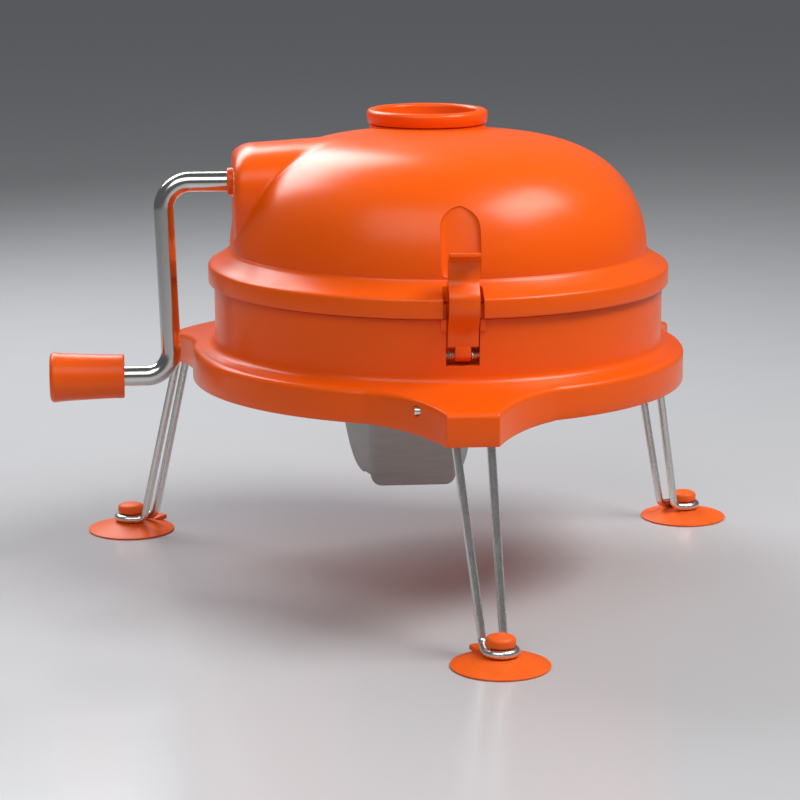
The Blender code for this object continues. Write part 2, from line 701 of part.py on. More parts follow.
def scoop():
    """Cutter of the recess round the latch: rounded at the top, open through the flange."""
    start = DOME_Z + SCOOP_STEP
    foot = -DOME_R + 2.5
    levels = [(FLANGE_BOTTOM - 3, SCOOP_HALF, -NOTCH_BACK), (DOME_Z, SCOOP_HALF, -NOTCH_BACK),
              (start, SCOOP_HALF, foot)]
    centre = SCOOP_TOP - SCOOP_HALF
    for index in range(7):
        height = SCOOP_HALF * sin(radians(88 * index / 6))
        half = SCOOP_HALF * cos(radians(88 * index / 6))
        share = (centre + height - start) / (SCOOP_TOP - start)
        levels.append((centre + height, half, foot + SCOOP_DEPTH * share ** 1.15))
    return stack([(z, half, back, -FLANGE_R - 8) for z, half, back in levels])


def scoop_pad():
    """Thickening inside the dome behind the recess, as depths within the dome and rises over its foot."""
    inner = [(22.0, 44.5), (13.5, 26.0), (7.5, 10.0), (5.0, 0.0)]
    outer = [(1.7, 0.0), (1.9, 9.0), (5.9, 24.0), (13.5, 39.0), (18.5, 45.0)]
    return side_prism([(depth - DOME_R, DOME_Z + rise) for depth, rise in inner + outer], SCOOP_HALF + 2.8)


def dome_core():
    """The dome filled to the middle of its wall."""
    foot = SEAT_Z - 8
    middle = DOME_WALL / 2
    outline = dome_curve(DOME_R - middle, DOME_HEIGHT - middle, 9) + [(DOME_R - middle, foot), (0, foot)]
    return turned(outline, sides=45)


def make_cover():
    shoulder = [(DOME_R + 1.7, DOME_Z - 0.4), (DOME_R + 4.5, DOME_Z - 2.8), (FLANGE_R - 5.3, DOME_Z - 5.1)]
    shoulder += [(FLANGE_R - 1.3, DOME_Z - 7.2), (FLANGE_R - 0.2, DOME_Z - 8.1), (FLANGE_R, DOME_Z - 9.0)]
    outline = dome_curve(DOME_R, DOME_HEIGHT) + shoulder
    outline += [(FLANGE_R, FLANGE_BOTTOM + 0.9), (FLANGE_R - 0.9, FLANGE_BOTTOM)]
    outline += [(FLANGE_R - FLANGE_WALL, FLANGE_BOTTOM), (FLANGE_R - FLANGE_WALL, SEAT_Z)]
    outline += [(SEAT_IN, SEAT_Z)]
    outline += list(reversed(dome_curve(SEAT_IN, DOME_HEIGHT - DOME_WALL, 6)))
    cover = finish("dome_cover", turned(outline), "plastic")
    bulge = join(cover, bulge_loft(0.0, BULGE_INNER_X))
    cut(bulge, dome_core())
    cut(cover, bulge_loft(BULGE_WALL, BULGE_INNER_X - 10))
    join(cover, scoop_pad())
    ceiling = DOME_Z + DOME_HEIGHT - DOME_WALL
    for x, y in CARRIER_SCREWS:
        join(cover, tube(CARRIER_SCREW_R + GAP, BOSS_R, CARRIER_TOP + GAP, ceiling + 1.4, (x, y), 8))
    cut(cover, drum((THROAT_IN + THROAT_R) / 2, DOME_Z, COLLAR_TOP + 9, (FEED_X, FEED_Y), 22))
    throat = [(THROAT_IN, THROAT_BOTTOM), (THROAT_R, THROAT_BOTTOM), (THROAT_R, COLLAR_TOP - 20)]
    throat += [(COLLAR_R, COLLAR_TOP - 18), (COLLAR_R, COLLAR_TOP), (THROAT_IN, COLLAR_TOP)]
    join(cover, turned(throat, (FEED_X, FEED_Y), 32))
    cut(cover, scoop())
    catch_top = HOOK_Z - 0.5
    catch_y = hook_tip() + HOOK_REACH
    join(cover, side_prism([(-NOTCH_BACK + 1.5, catch_top - 3.4), (-catch_y + 0.8, catch_top - 3.0),
                            (-catch_y, catch_top - 2.2), (-catch_y, catch_top),
                            (-NOTCH_BACK + 1.5, catch_top)], LATCH_HALF - 1.5))
    inner, outer = BULGE_FACE - SHAFT_BOSS_DEPTH, BULGE_FACE + SHAFT_BOSS_PROUD
    shelf = BULGE_FACE - 1.0
    cut(cover, rod((BUSH_R + SHAFT_BOSS_R) / 2, inner - 5, outer + 5, 0, CRANK_Z, 14))
    boss = [(BUSH_R + GAP, inner), (SHAFT_BOSS_R, inner), (SHAFT_BOSS_R, BULGE_FACE - 0.4)]
    boss += [(SHAFT_LIP_R, BULGE_FACE - 0.4), (SHAFT_LIP_R, outer), (ROD_R + 2 * GAP, outer)]
    boss += [(ROD_R + 2 * GAP, shelf), (BUSH_R + GAP, shelf)]
    join(cover, along_x(turned(boss, sides=24), 0, CRANK_Z))
    knuckle = [(FLANGE_R - 1.8, HINGE_Z - 2)]
    knuckle += arc(HINGE_Y, HINGE_Z, KNUCKLE_R, -110, 90, 8)
    knuckle += [(FLANGE_R - 1.8, FLANGE_BAND_TOP - 0.5)]
    join(cover, side_prism(knuckle, COVER_KNUCKLE_HALF))
    cut(cover, rod(HINGE_PIN_R + GAP, -COVER_KNUCKLE_HALF - 5, COVER_KNUCKLE_HALF + 5,
                   HINGE_Y, HINGE_Z, 16))
    return cover


def make_feed_cup():
    """Pusher cup, open at the top, with a rolled rim that rests on the throat's collar."""
    foot = COLLAR_R - 0.8
    outline = [(0, PUSHER_BOTTOM), (CUP_R - 1.5, PUSHER_BOTTOM), (CUP_R, PUSHER_BOTTOM + 1.5)]
    outline += [(CUP_R, CUP_FOOT), (foot, CUP_FOOT), (CUP_RIM_R - 0.5, CUP_FOOT + 0.7)]
    outline += arc(CUP_RIM_R - 2.4, CUP_RIM_TOP - 2.4, 2.4, 0, 90, 2)
    outline += arc(CUP_MOUTH_R + 2.2, CUP_RIM_TOP - 2.2, 2.2, 90, 180, 2)
    outline += [(CUP_R - CUP_WALL, CUP_FOOT - 1), (CUP_R - CUP_WALL, PUSHER_BOTTOM + CUP_FLOOR)]
    outline += [(0, PUSHER_BOTTOM + CUP_FLOOR)]
    return finish("feed_cup", turned(outline, (FEED_X, FEED_Y), 32), "plastic",
                  (FEED_X, FEED_Y, CUP_FOOT))


# Latch


def hook_tip():
    """Distance of the hook's tip from the body axis."""
    return NOTCH_BACK + 3.7


def latch_front(z):
    """How far out the latch's front stands at a height: proud over the flange, and back at its tab."""
    low = DRUM_R - 1.2 + LATCH_THICK
    proud = FLANGE_R + 2.4 + LATCH_THICK
    back = FLANGE_R - 4.6 + LATCH_THICK
    levels = [(LATCH_PIN_Z, low), (FLANGE_BOTTOM - 11, low), (FLANGE_BOTTOM + 7, proud),
              (FLANGE_BAND_TOP + 1, proud), (DOME_Z + 4, back), (TAB_TOP, back)]
    for (z0, y0), (z1, y1) in zip(levels, levels[1:]):
        if z <= z1:
            return y0 + (y1 - y0) * (z - z0) / (z1 - z0)
    return back


def make_latch():
    foot = LATCH_PIN_Z + 4
    low_out = latch_front(foot)
    low_in = low_out - LATCH_THICK
    curl = TAB_TOP - 11.5
    back = latch_front(curl)
    hook_top = HOOK_Z + HOOK_THICK
    heights = [foot, FLANGE_BOTTOM - 11, FLANGE_BOTTOM + 7, FLANGE_BAND_TOP + 1, HOOK_Z]
    outline = [(LATCH_THICK - latch_front(z), z) for z in heights]
    outline += [(-hook_tip(), HOOK_Z), (-hook_tip(), HOOK_Z + HOOK_THICK * 0.6)]
    outline += [(LATCH_THICK - latch_front(z), z) for z in (hook_top, DOME_Z + 4, curl)]
    outline += [(-back + 1.7, TAB_TOP - 6), (-back - 2.0, TAB_TOP - 1.7), (-back - 8.0, TAB_TOP)]
    outline += [(-back - 8.5, TAB_TOP - 2.5), (-back - 4.0, TAB_TOP - 4.3), (-back - 1.0, TAB_TOP - 7.6)]
    heights = [curl, DOME_Z + 4, FLANGE_BAND_TOP + 1, FLANGE_BOTTOM + 7, FLANGE_BOTTOM - 11, foot]
    outline += [(-latch_front(z), z) for z in heights]
    plate = side_prism(outline, LATCH_HALF)
    latch = finish("latch", plate, "plastic", (0, -LATCH_PIN_Y, LATCH_PIN_Z))
    foot_block = [(-low_out, foot + 1.5), (-low_out, LATCH_PIN_Z - 0.5)]
    foot_block += arc(-LATCH_PIN_Y, LATCH_PIN_Z, LATCH_BARREL_R, 200, 400, 10)
    foot_block += [(-low_in, foot + 1.5)]
    join(latch, side_prism(foot_block, LATCH_FOOT_HALF))
    cut(latch, rod(LATCH_PIN_R + GAP, -LATCH_FOOT_HALF - 3, LATCH_FOOT_HALF + 3,
                   -LATCH_PIN_Y, LATCH_PIN_Z, 12))
    finish("latch_pin", rod(LATCH_PIN_R, -LATCH_PIN_HALF, LATCH_PIN_HALF,
                            -LATCH_PIN_Y, LATCH_PIN_Z, 12), "steel")
    for name, side in (("left", -1), ("right", 1)):
        finish(f"latch_spring_{name}", torsion_spring(side), "steel")


def torsion_spring(side):
    """Coil beside the latch's foot, with an arm at each end."""
    wire = 0.4
    radius = LATCH_PIN_R + GAP + wire + 0.1
    pitch = 2 * wire + 0.5
    turns = 2.5
    start = LATCH_FOOT_HALF + GAP + wire
    steps = int(turns * 9)
    path = []
    for index in range(steps + 1):
        angle = pi / 2 + 2 * pi * turns * index / steps
        path.append(Vector((side * (start + pitch * turns * index / steps),
                            -LATCH_PIN_Y + radius * cos(angle),
                            LATCH_PIN_Z + radius * sin(angle))))
    last = path[-1] + Vector((0, 1.1, 0))
    path.append(last)
    least = min((a - b).length for i, a in enumerate(path) for b in path[i + 9:])
    print(f"latch spring: least gap between its turns {least - 2 * wire:.2f} mm")
    return sweep(path, [wire] * len(path), 5)


# Crank and grip


def make_crank():
    height = CRANK_Z
    start = Vector((-SHAFT_SHOULDER, 0, height))
    top = Vector((-ARM_TOP_X, 0, height))
    low = Vector((-ARM_BOTTOM_X, 0, GRIP_Z))
    end = Vector((-GRIP_OUTER_X + GRIP_RECESS + GRIP_WEB + GAP, 0, GRIP_Z))
    tip = Vector((-pinion_small_end() + 1.2, 0, height))
    path = [tip, start, start] + bend(start, top, low, UPPER_BEND, 6)
    path += bend(top, low, end, LOWER_BEND, 6) + [end]
    radii = [JOURNAL_R, JOURNAL_R] + [ROD_R] * (len(path) - 2)
    crank = finish("crank_rod", sweep_exact(path, radii), "polished", (0, 0, CRANK_Z))
    cut(crank, rod(GRIP_SCREW_R + GAP, -end.x - GRIP_SCREW_GRIP, -end.x + 4, 0, GRIP_Z, 12))
    cut(crank, cross_rod(CROSS_PIN_R + 0.2, PINION_HUB_R + 3, (pinion_pin_x(), 0, CRANK_Z)))
    finish("outer_bush", along_x(turned([
        (ROD_R + GAP, BULGE_FACE - SHAFT_BOSS_DEPTH), (BUSH_R, BULGE_FACE - SHAFT_BOSS_DEPTH),
        (BUSH_R, BULGE_FACE - 1.0 - GAP), (ROD_R + GAP, BULGE_FACE - 1.0 - GAP)],
        sides=24), 0, CRANK_Z), "bronze")
    finish("inner_bush", along_x(turned([
        (JOURNAL_R + GAP, INNER_BUSH_END - 0.6), (INNER_BUSH_R, INNER_BUSH_END - 0.6),
        (INNER_BUSH_R, CARRIER_LEFT + 1.0), (JOURNAL_R + GAP, CARRIER_LEFT + 1.0)],
        sides=20), 0, CRANK_Z), "bronze")


def sweep_exact(path, radii):
    """Bar in the XZ plane: each ring is square to the path, also where the radius steps."""
    bm = bmesh.new()
    rings = []
    last = len(path) - 1
    for index, point in enumerate(path):
        before = path[max(index - 1, 0)]
        after = path[min(index + 1, last)]
        if before == point:
            before = path[max(index - 2, 0)]
        if after == point:
            after = path[min(index + 2, last)]
        tangent = (after - before).normalized()
        across = Vector((0, 1, 0))
        other = tangent.cross(across)
        ring = []
        for side in range(16):
            turn = 2 * pi * side / 16
            ring.append(bm.verts.new(point + (across * cos(turn) + other * sin(turn)) * radii[index]))
        rings.append(ring)
    skin(bm, rings)
    return bm


def cross_rod(radius, half, centre, sides=10):
    """Round bar along Y through a centre."""
    bm = turned([(0, -half), (radius, -half), (radius, half), (0, half)], sides=sides)
    bmesh.ops.transform(bm, matrix=Matrix.Rotation(-pi / 2, 4, "X"), verts=bm.verts)
    bmesh.ops.translate(bm, vec=centre, verts=bm.verts)
    return bm


def make_grip():
    inner = GRIP_INNER_X
    outer = GRIP_OUTER_X
    bore_end = outer - GRIP_RECESS - GRIP_WEB
    outline = [(ROD_R + GAP, inner), (GRIP_R_INNER - 2.0, inner), (GRIP_R_INNER, inner + 1.8)]
    outline += [(GRIP_R_INNER - 0.3, inner + GRIP_LENGTH * 0.3)]
    outline += [(GRIP_R_INNER + 0.2, inner + GRIP_LENGTH * 0.6), (GRIP_R_OUTER, outer - 3.0)]
    outline += [(GRIP_R_OUTER - 0.9, outer - 0.9), (GRIP_R_OUTER - 3.0, outer)]
    outline += [(GRIP_SCREW_HEAD_R + 0.8, outer), (GRIP_SCREW_HEAD_R + 0.8, outer - GRIP_RECESS)]
    outline += [(GRIP_SCREW_R + 0.6, outer - GRIP_RECESS), (GRIP_SCREW_R + 0.6, bore_end)]
    outline += [(ROD_R + GAP, bore_end)]
    finish("crank_grip", along_x(turned(outline, sides=24), 0, GRIP_Z), "plastic", (-inner, 0, GRIP_Z))
    head = outer - GRIP_RECESS + GAP
    outline = [(0, bore_end - GRIP_SCREW_GRIP + 1.5), (GRIP_SCREW_R, bore_end - GRIP_SCREW_GRIP + 1.5)]
    outline += [(GRIP_SCREW_R, head), (GRIP_SCREW_HEAD_R, head)]
    outline += [(GRIP_SCREW_HEAD_R, head + GRIP_SCREW_HEAD - 0.8)]
    outline += [(GRIP_SCREW_HEAD_R - 0.8, head + GRIP_SCREW_HEAD), (0, head + GRIP_SCREW_HEAD)]
    finish("grip_screw", along_x(turned(outline, sides=16), 0, GRIP_Z), "steel", (-inner, 0, GRIP_Z))


# Bevel gears


def involute(angle):
    return tan(angle) - angle


def tooth_points(teeth, cone):
    """One tooth and its gap as (angle, height over the pitch cone) on the back cone."""
    pitch_r = MODULE * teeth / 2
    back_r = pitch_r / cos(cone)
    base_r = back_r * cos(PRESSURE)
    tip = TOOTH_HEIGHT * MODULE
    root = -1.05 * MODULE
    half_pitch = pi / teeth

    def half_angle(height):
        radius = max(back_r + height, base_r)
        slant = acos(min(1.0, base_r / radius))
        turn = pi * MODULE * TOOTH_SHARE / (2 * back_r) + involute(PRESSURE) - involute(slant)
        return min(turn / cos(cone), half_pitch * 0.96)

    heights = [root, 0.0, tip]
    left = [(-half_angle(height), height) for height in heights]
    right = [(half_angle(height), height) for height in reversed(heights)]
    return left + right


def bevel_wheel(teeth, mate_radius, hub_r, hub_end, bore, phase):
    """Wheel whose pitch cone has its apex at the origin and opens along +Z."""
    pitch_r = MODULE * teeth / 2
    cone = atan2(pitch_r, mate_radius)
    shrink = (CONE_LENGTH - GEAR_FACE) / CONE_LENGTH
    bm = bmesh.new()
    rings = [[] for _ in range(5)]
    for tooth in range(teeth):
        for angle, height in tooth_points(teeth, cone):
            turn = phase + 2 * pi * tooth / teeth + angle
            radius = pitch_r + height * cos(cone)
            axial = mate_radius - height * sin(cone)
            spots = [(bore, mate_radius * shrink), (radius * shrink, axial * shrink), (radius, axial)]
            spots += [(hub_r, hub_end), (bore, hub_end)]
            for ring, (across, up) in zip(rings, spots):
                ring.append(bm.verts.new((across * cos(turn), across * sin(turn), up)))
    skin(bm, rings, closed=True)
    return bm


def pinion_small_end():
    return GEAR_R * (CONE_LENGTH - GEAR_FACE) / CONE_LENGTH


def pinion_pin_x():
    return -(GEAR_R + INNER_BUSH_END) / 2 - 1.5


def gear_pin_z():
    return (CARRIER_BOTTOM + CARRIER_WALL + CRANK_Z - PINION_R) / 2 - 3.0


def make_gears():
    hub_end = INNER_BUSH_END - 0.6 - GAP
    pinion = bevel_wheel(PINION_TEETH, GEAR_R, PINION_HUB_R, hub_end, JOURNAL_R + GAP, 0.0)
    bmesh.ops.transform(pinion, matrix=Matrix.Rotation(-pi / 2, 4, "Y"), verts=pinion.verts)
    bmesh.ops.translate(pinion, vec=(0, 0, CRANK_Z), verts=pinion.verts)
    wheel = finish("bevel_pinion", pinion, "alloy", (0, 0, CRANK_Z))
    cut(wheel, cross_rod(CROSS_PIN_R + 0.2, PINION_HUB_R + 3, (pinion_pin_x(), 0, CRANK_Z)))
    finish("pinion_pin", cross_rod(CROSS_PIN_R, PINION_HUB_R - 0.4, (pinion_pin_x(), 0, CRANK_Z)),
           "steel", (0, 0, CRANK_Z))
    bush_top = CARRIER_BOTTOM + CARRIER_WALL + 1.0
    hub_end = CRANK_Z - bush_top - GAP
    phase = pi + pi / GEAR_TEETH
    gear = bevel_wheel(GEAR_TEETH, PINION_R, GEAR_HUB_R, hub_end, SPINDLE_R + GAP, -phase)
    bmesh.ops.transform(gear, matrix=Matrix.Rotation(pi, 4, "X"), verts=gear.verts)
    bmesh.ops.translate(gear, vec=(0, 0, CRANK_Z), verts=gear.verts)
    wheel = finish("bevel_gear", gear, "alloy", (0, 0, CRANK_Z))
    place = (0, 0, gear_pin_z())
    cut(wheel, cross_rod(CROSS_PIN_R + 0.2, GEAR_HUB_R + 3, place))
    finish("gear_pin", cross_rod(CROSS_PIN_R, GEAR_HUB_R - 0.4, place), "steel", place)


# Carrier, spindle and cutting disc


def make_carrier():
    left = -CARRIER_LEFT
    frame = slab(left, CARRIER_RIGHT, -CARRIER_HALF, CARRIER_HALF, CARRIER_BOTTOM, CARRIER_TOP)
    carrier = finish("gear_carrier", frame, "alloy")
    join(carrier, drum(SPINDLE_BUSH_R + GAP + CARRIER_BOSS_WALL, CARRIER_BOTTOM - CARRIER_BOSS_DROP,
                       CARRIER_BOTTOM + 2, sides=16))
    cut(carrier, slab(left + CARRIER_WALL, CARRIER_RIGHT - CARRIER_WALL, -CARRIER_HALF - 5,
                      CARRIER_HALF + 5, CARRIER_BOTTOM + CARRIER_WALL, CARRIER_TOP - CARRIER_WALL))
    cut(carrier, drum(SPINDLE_BUSH_R + GAP, CARRIER_BOTTOM - 20, CARRIER_TOP + 5, sides=18))
    cut(carrier, rod(INNER_BUSH_R + GAP, INNER_BUSH_END - 5, CARRIER_LEFT + 5, 0, CRANK_Z, 20))
    for x, y in CARRIER_SCREWS:
        cut(carrier, drum(CARRIER_SCREW_R + GAP, CARRIER_TOP - CARRIER_WALL - 5, CARRIER_TOP + 5,
                          (x, y), 12))
        cut(carrier, drum(CARRIER_SCREW_HEAD_R + GAP, CARRIER_TOP - CARRIER_WALL - 8,
                          CARRIER_TOP - CARRIER_WALL + SCREW_HEAD + 0.6, (x, y), 16))
    head_top = CARRIER_TOP - CARRIER_WALL + SCREW_HEAD + 0.3
    tip = DOME_Z + DOME_HEIGHT - DOME_WALL - 1.6
    for number, (x, y) in enumerate(CARRIER_SCREWS, 1):
        finish(f"carrier_screw_{number}",
               screw_up(x, y, head_top, CARRIER_SCREW_R, CARRIER_SCREW_HEAD_R, tip), "steel")
    low = tube(SPINDLE_R + GAP, SPINDLE_BUSH_R, CARRIER_BOTTOM - CARRIER_BOSS_DROP,
               CARRIER_BOTTOM + CARRIER_WALL + 1.0, sides=16)
    high = tube(SPINDLE_R + GAP, SPINDLE_BUSH_R, CARRIER_TOP - CARRIER_WALL - 0.4, CARRIER_TOP, sides=16)
    finish("lower_spindle_bush", low, "bronze")
    finish("upper_spindle_bush", high, "bronze")


def make_spindle():
    collar = DISC_TOP + GAP
    end = DISC_BOTTOM - GAP - NUT_HEIGHT + 1.5
    outline = [(0, end), (SPINDLE_R - 0.8, end), (SPINDLE_R, end + 0.8), (SPINDLE_R, collar)]
    outline += [(SPINDLE_COLLAR_R, collar), (SPINDLE_COLLAR_R, collar + COLLAR_HEIGHT)]
    outline += [(SPINDLE_R, collar + COLLAR_HEIGHT), (SPINDLE_R, CARRIER_TOP - 1.5), (0, CARRIER_TOP - 1.5)]
    spindle = finish("spindle", turned(outline, sides=16), "steel", (0, 0, DISC_TOP))
    cut(spindle, cross_rod(CROSS_PIN_R + 0.2, GEAR_HUB_R + 3, (0, 0, gear_pin_z())))


def blade_section(grow=0.0):
    """Blade across its length: a flat seat and a raised cutting edge."""
    low = DISC_TOP + GAP
    return [(-BLADE_SEAT, low), (0, low), (BLADE_EDGE, low + BLADE_RISE + 0.6),
            (BLADE_EDGE, low + BLADE_RISE + BLADE_THICK), (0, low + BLADE_THICK),
            (-BLADE_SEAT, low + BLADE_THICK)]


def make_disc():
    outline = [(SPINDLE_R + GAP, DISC_BOTTOM), (DISC_R, DISC_BOTTOM)]
    outline += [(DISC_R, DISC_TOP), (SPINDLE_R + GAP, DISC_TOP)]
    disc = finish("cutter_disc", turned(outline, sides=48), "sheet", (0, 0, DISC_TOP))
    screw_spots = (BLADE_INNER + 4.5, BLADE_INNER + BLADE_LENGTH - 4.5)
    low = DISC_TOP + GAP
    for index in range(BLADE_COUNT):
        bearing = 360 / BLADE_COUNT * index + 25
        slot = slab(BLADE_INNER + 2, BLADE_INNER + BLADE_LENGTH - 2, 1.0, 1.0 + SLOT_WIDTH,
                    DISC_BOTTOM - 3, DISC_TOP + 3)
        cut(disc, turned_about_axis(slot, bearing))
        blade = prism([(BLADE_INNER, y, z) for y, z in blade_section()], (BLADE_LENGTH, 0, 0))
        plate = finish(f"slicing_blade_{index + 1}", turned_about_axis(blade, bearing), "polished",
                       (0, 0, DISC_TOP))
        for end, along in zip(("inner", "outer"), screw_spots):
            hole = drum(BLADE_SCREW_R + GAP, DISC_BOTTOM - 3, low + 8, (along, -BLADE_SEAT / 2), 8)
            cut(disc, turned_about_axis(hole, bearing))
            hole = drum(BLADE_SCREW_R + GAP, DISC_TOP - 1, low + 8, (along, -BLADE_SEAT / 2), 8)
            cut(plate, turned_about_axis(hole, bearing))
            head = low + BLADE_THICK + GAP
            outline = [(0, DISC_BOTTOM + 0.3), (BLADE_SCREW_R, DISC_BOTTOM + 0.3), (BLADE_SCREW_R, head)]
            outline += [(BLADE_SCREW_HEAD_R, head)]
            outline += [(BLADE_SCREW_HEAD_R - 0.8, head + BLADE_SCREW_HEAD), (0, head + BLADE_SCREW_HEAD)]
            screw = turned_about_axis(turned(outline, (along, -BLADE_SEAT / 2), 8), bearing)
            finish(f"blade_screw_{index + 1}_{end}", screw, "steel", (0, 0, DISC_TOP))
    top = DISC_BOTTOM - GAP
    bm = bmesh.new()
    rings = []
    for radius_share, z in ((0, top - NUT_HEIGHT), (1, top - NUT_HEIGHT), (1, top), (0, top)):
        ring = []
        for index in range(32):
            turn = 2 * pi * index / 32
            outer = NUT_R if index % 2 else NUT_R - 1.0
            radius = outer if radius_share else SPINDLE_R + GAP
            ring.append(bm.verts.new((radius * cos(turn), radius * sin(turn), z)))
        rings.append(ring)
    skin(bm, rings, closed=True)
    finish("disc_nut", bm, "nylon", (0, 0, DISC_TOP))


# Legs and suction cups


def leg_path(name, hand, reach, aside):
    """Centre line of one leg's wire on a lobe whose bearing is +X."""
    def at(radius, across, height):
        return Vector((radius, across * hand, height))

    spread = LEG_SPREADS[name]
    near = aside - LOOP_R
    end_a = at(PIVOT_R, -PIVOT_OPEN_END, PIVOT_Z)
    knee_a = at(PIVOT_R, -spread, PIVOT_Z)
    elbow_a = at(LEG_ELBOW_R, -spread, PIVOT_Z)
    foot_a = at(reach - FOOT_APPROACH, near, LOOP_Z)
    loop = [at(radius, across, LOOP_Z) for radius, across in
            arc(reach, aside, LOOP_R, -90, 120, 8)]
    clear = CUP_KNOB_R + WIRE_R + GAP
    leave = (clear - LOOP_R * cos(radians(60))) / sin(radians(60))
    foot_b = at(reach - clear, aside + LOOP_R * sin(radians(60)) - leave * cos(radians(60)), LOOP_Z)
    elbow_b = at(LEG_ELBOW_R, spread, PIVOT_Z)
    knee_b = at(PIVOT_R, spread, PIVOT_Z)
    end_b = at(PIVOT_R, PIVOT_BLIND_END, PIVOT_Z)
    path = [end_a]
    path += bend(end_a, knee_a, elbow_a, PIVOT_BEND)
    path += bend(knee_a, elbow_a, foot_a, LEG_ELBOW_BEND)
    path += bend(elbow_a, foot_a, loop[0], LOOP_BEND, 3)
    path += loop
    path += bend(loop[-1], foot_b, elbow_b, LOOP_BEND, 3)
    path += bend(foot_b, elbow_b, knee_b, LEG_ELBOW_BEND)
    path += bend(elbow_b, knee_b, end_b, PIVOT_BEND)
    path.append(end_b)
    return path


def make_leg(name, bearing, hand, reach, aside):
    path = leg_path(name, hand, reach, aside)
    wire = turned_about_axis(sweep(path, [WIRE_R] * len(path)), bearing)
    bear = radians(bearing)
    pivot = (PIVOT_R * cos(bear), PIVOT_R * sin(bear), PIVOT_Z)
    finish(f"leg_{name}", wire, "steel", pivot, 50)
    centre = FEET[name]
    ring_in = CUP_PAD_R - CUP_PAD_RING
    knob_top = KNOB_BOTTOM + CUP_KNOB_HEIGHT
    outline = [(ring_in, 0), (CUP_PAD_R, 0), (CUP_PAD_R, CUP_LIP), (CUP_PAD_R * 0.62, CUP_HUB_TOP * 0.62)]
    outline += [(CUP_HUB_R, CUP_HUB_TOP), (CUP_NECK_R, CUP_HUB_TOP), (CUP_NECK_R, KNOB_BOTTOM)]
    outline += [(CUP_KNOB_R - 0.8, KNOB_BOTTOM), (CUP_KNOB_R, KNOB_BOTTOM + 1.2)]
    outline += [(CUP_KNOB_R - 0.5, KNOB_BOTTOM + CUP_KNOB_HEIGHT * 0.55)]
    outline += [(CUP_KNOB_R - 2.8, knob_top - 1.0), (0, knob_top)]
    outline += [(0, CUP_HUB_TOP * 0.5), (CUP_HUB_R, CUP_HUB_TOP * 0.45)]
    cup = finish(f"cup_{name}", turned(outline, centre, 24), "rubber", pivot)
    tab = [(CUP_PAD_R * 0.62, CUP_HUB_TOP * 0.3), (CUP_PAD_R * 0.62, CUP_HUB_TOP * 0.72)]
    tab += [(CUP_PAD_R, CUP_HUB_TOP * 0.85), (CUP_PAD_R, CUP_HUB_TOP * 0.5)]
    tab += [(CUP_PAD_R * 0.85, CUP_LIP)]
    body = prism([(radius, -CUP_TAB_HALF, z) for radius, z in tab], (0, 2 * CUP_TAB_HALF, 0))
    turned_about_axis(body, bearing + CUP_TAB_TURNS[name])
    bmesh.ops.translate(body, vec=(centre[0], centre[1], 0), verts=body.verts)
    join(cup, body)


make_base()
make_guide()
make_cover()
make_feed_cup()
make_latch()
reach = COVER_KNUCKLE_HALF + BASE_KNUCKLE_LENGTH + 1.5
finish("cover_hinge_pin", rod(HINGE_PIN_R, -reach, reach, HINGE_Y, HINGE_Z), "steel")
make_crank()
make_grip()
make_gears()
make_carrier()
make_spindle()
make_disc()
for leg in LEGS:
    make_leg(*leg)
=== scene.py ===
"""Looks of a hand-cranked vegetable cutter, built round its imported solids.

Pieces are shaped in millimetres from the body axis and are put in the row frame at the end.
The latch is at -Y, the cover's hinge at +Y and the crank at -X.
"""

from math import acos, cos, hypot, pi, radians, sin, sqrt, tan

import bmesh
import bpy
import numpy as np
from bpy.props import FloatProperty, FloatVectorProperty, IntProperty, PointerProperty
from bpy.types import Operator, Panel, PropertyGroup
from mathutils import Matrix, Vector


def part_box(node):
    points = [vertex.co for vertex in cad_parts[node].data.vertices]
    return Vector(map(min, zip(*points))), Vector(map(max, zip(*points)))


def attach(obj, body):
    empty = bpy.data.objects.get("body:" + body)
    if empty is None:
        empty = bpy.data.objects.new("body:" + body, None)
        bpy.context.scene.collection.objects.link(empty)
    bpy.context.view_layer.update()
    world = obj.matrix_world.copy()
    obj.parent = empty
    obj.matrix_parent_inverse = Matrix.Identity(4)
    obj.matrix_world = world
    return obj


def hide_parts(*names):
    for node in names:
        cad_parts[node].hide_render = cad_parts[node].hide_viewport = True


bl_info = {
    "name": "Vegetable cutter looks",
    "version": (1, 0, 0),
    "blender": (4, 5, 0),
    "location": "View3D > Sidebar > Cutter",
    "description": "Moulded shells, steel wires, rubber feet and a studio for a hand-cranked cutter",
    "category": "Object",
}

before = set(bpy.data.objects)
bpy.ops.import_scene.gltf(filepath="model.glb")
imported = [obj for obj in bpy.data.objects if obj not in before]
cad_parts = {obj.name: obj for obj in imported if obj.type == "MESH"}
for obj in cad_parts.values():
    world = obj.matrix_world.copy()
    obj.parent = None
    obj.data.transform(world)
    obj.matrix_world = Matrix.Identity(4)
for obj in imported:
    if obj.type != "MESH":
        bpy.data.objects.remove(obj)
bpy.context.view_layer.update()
MM = 0.001
SPINDLE_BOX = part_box("spindle")
AXIS = Vector(((SPINDLE_BOX[0].x + SPINDLE_BOX[1].x) / 2, (SPINDLE_BOX[0].y + SPINDLE_BOX[1].y) / 2, 0))
TO_ROW = Matrix.Translation(AXIS) @ Matrix.Scale(MM, 4)

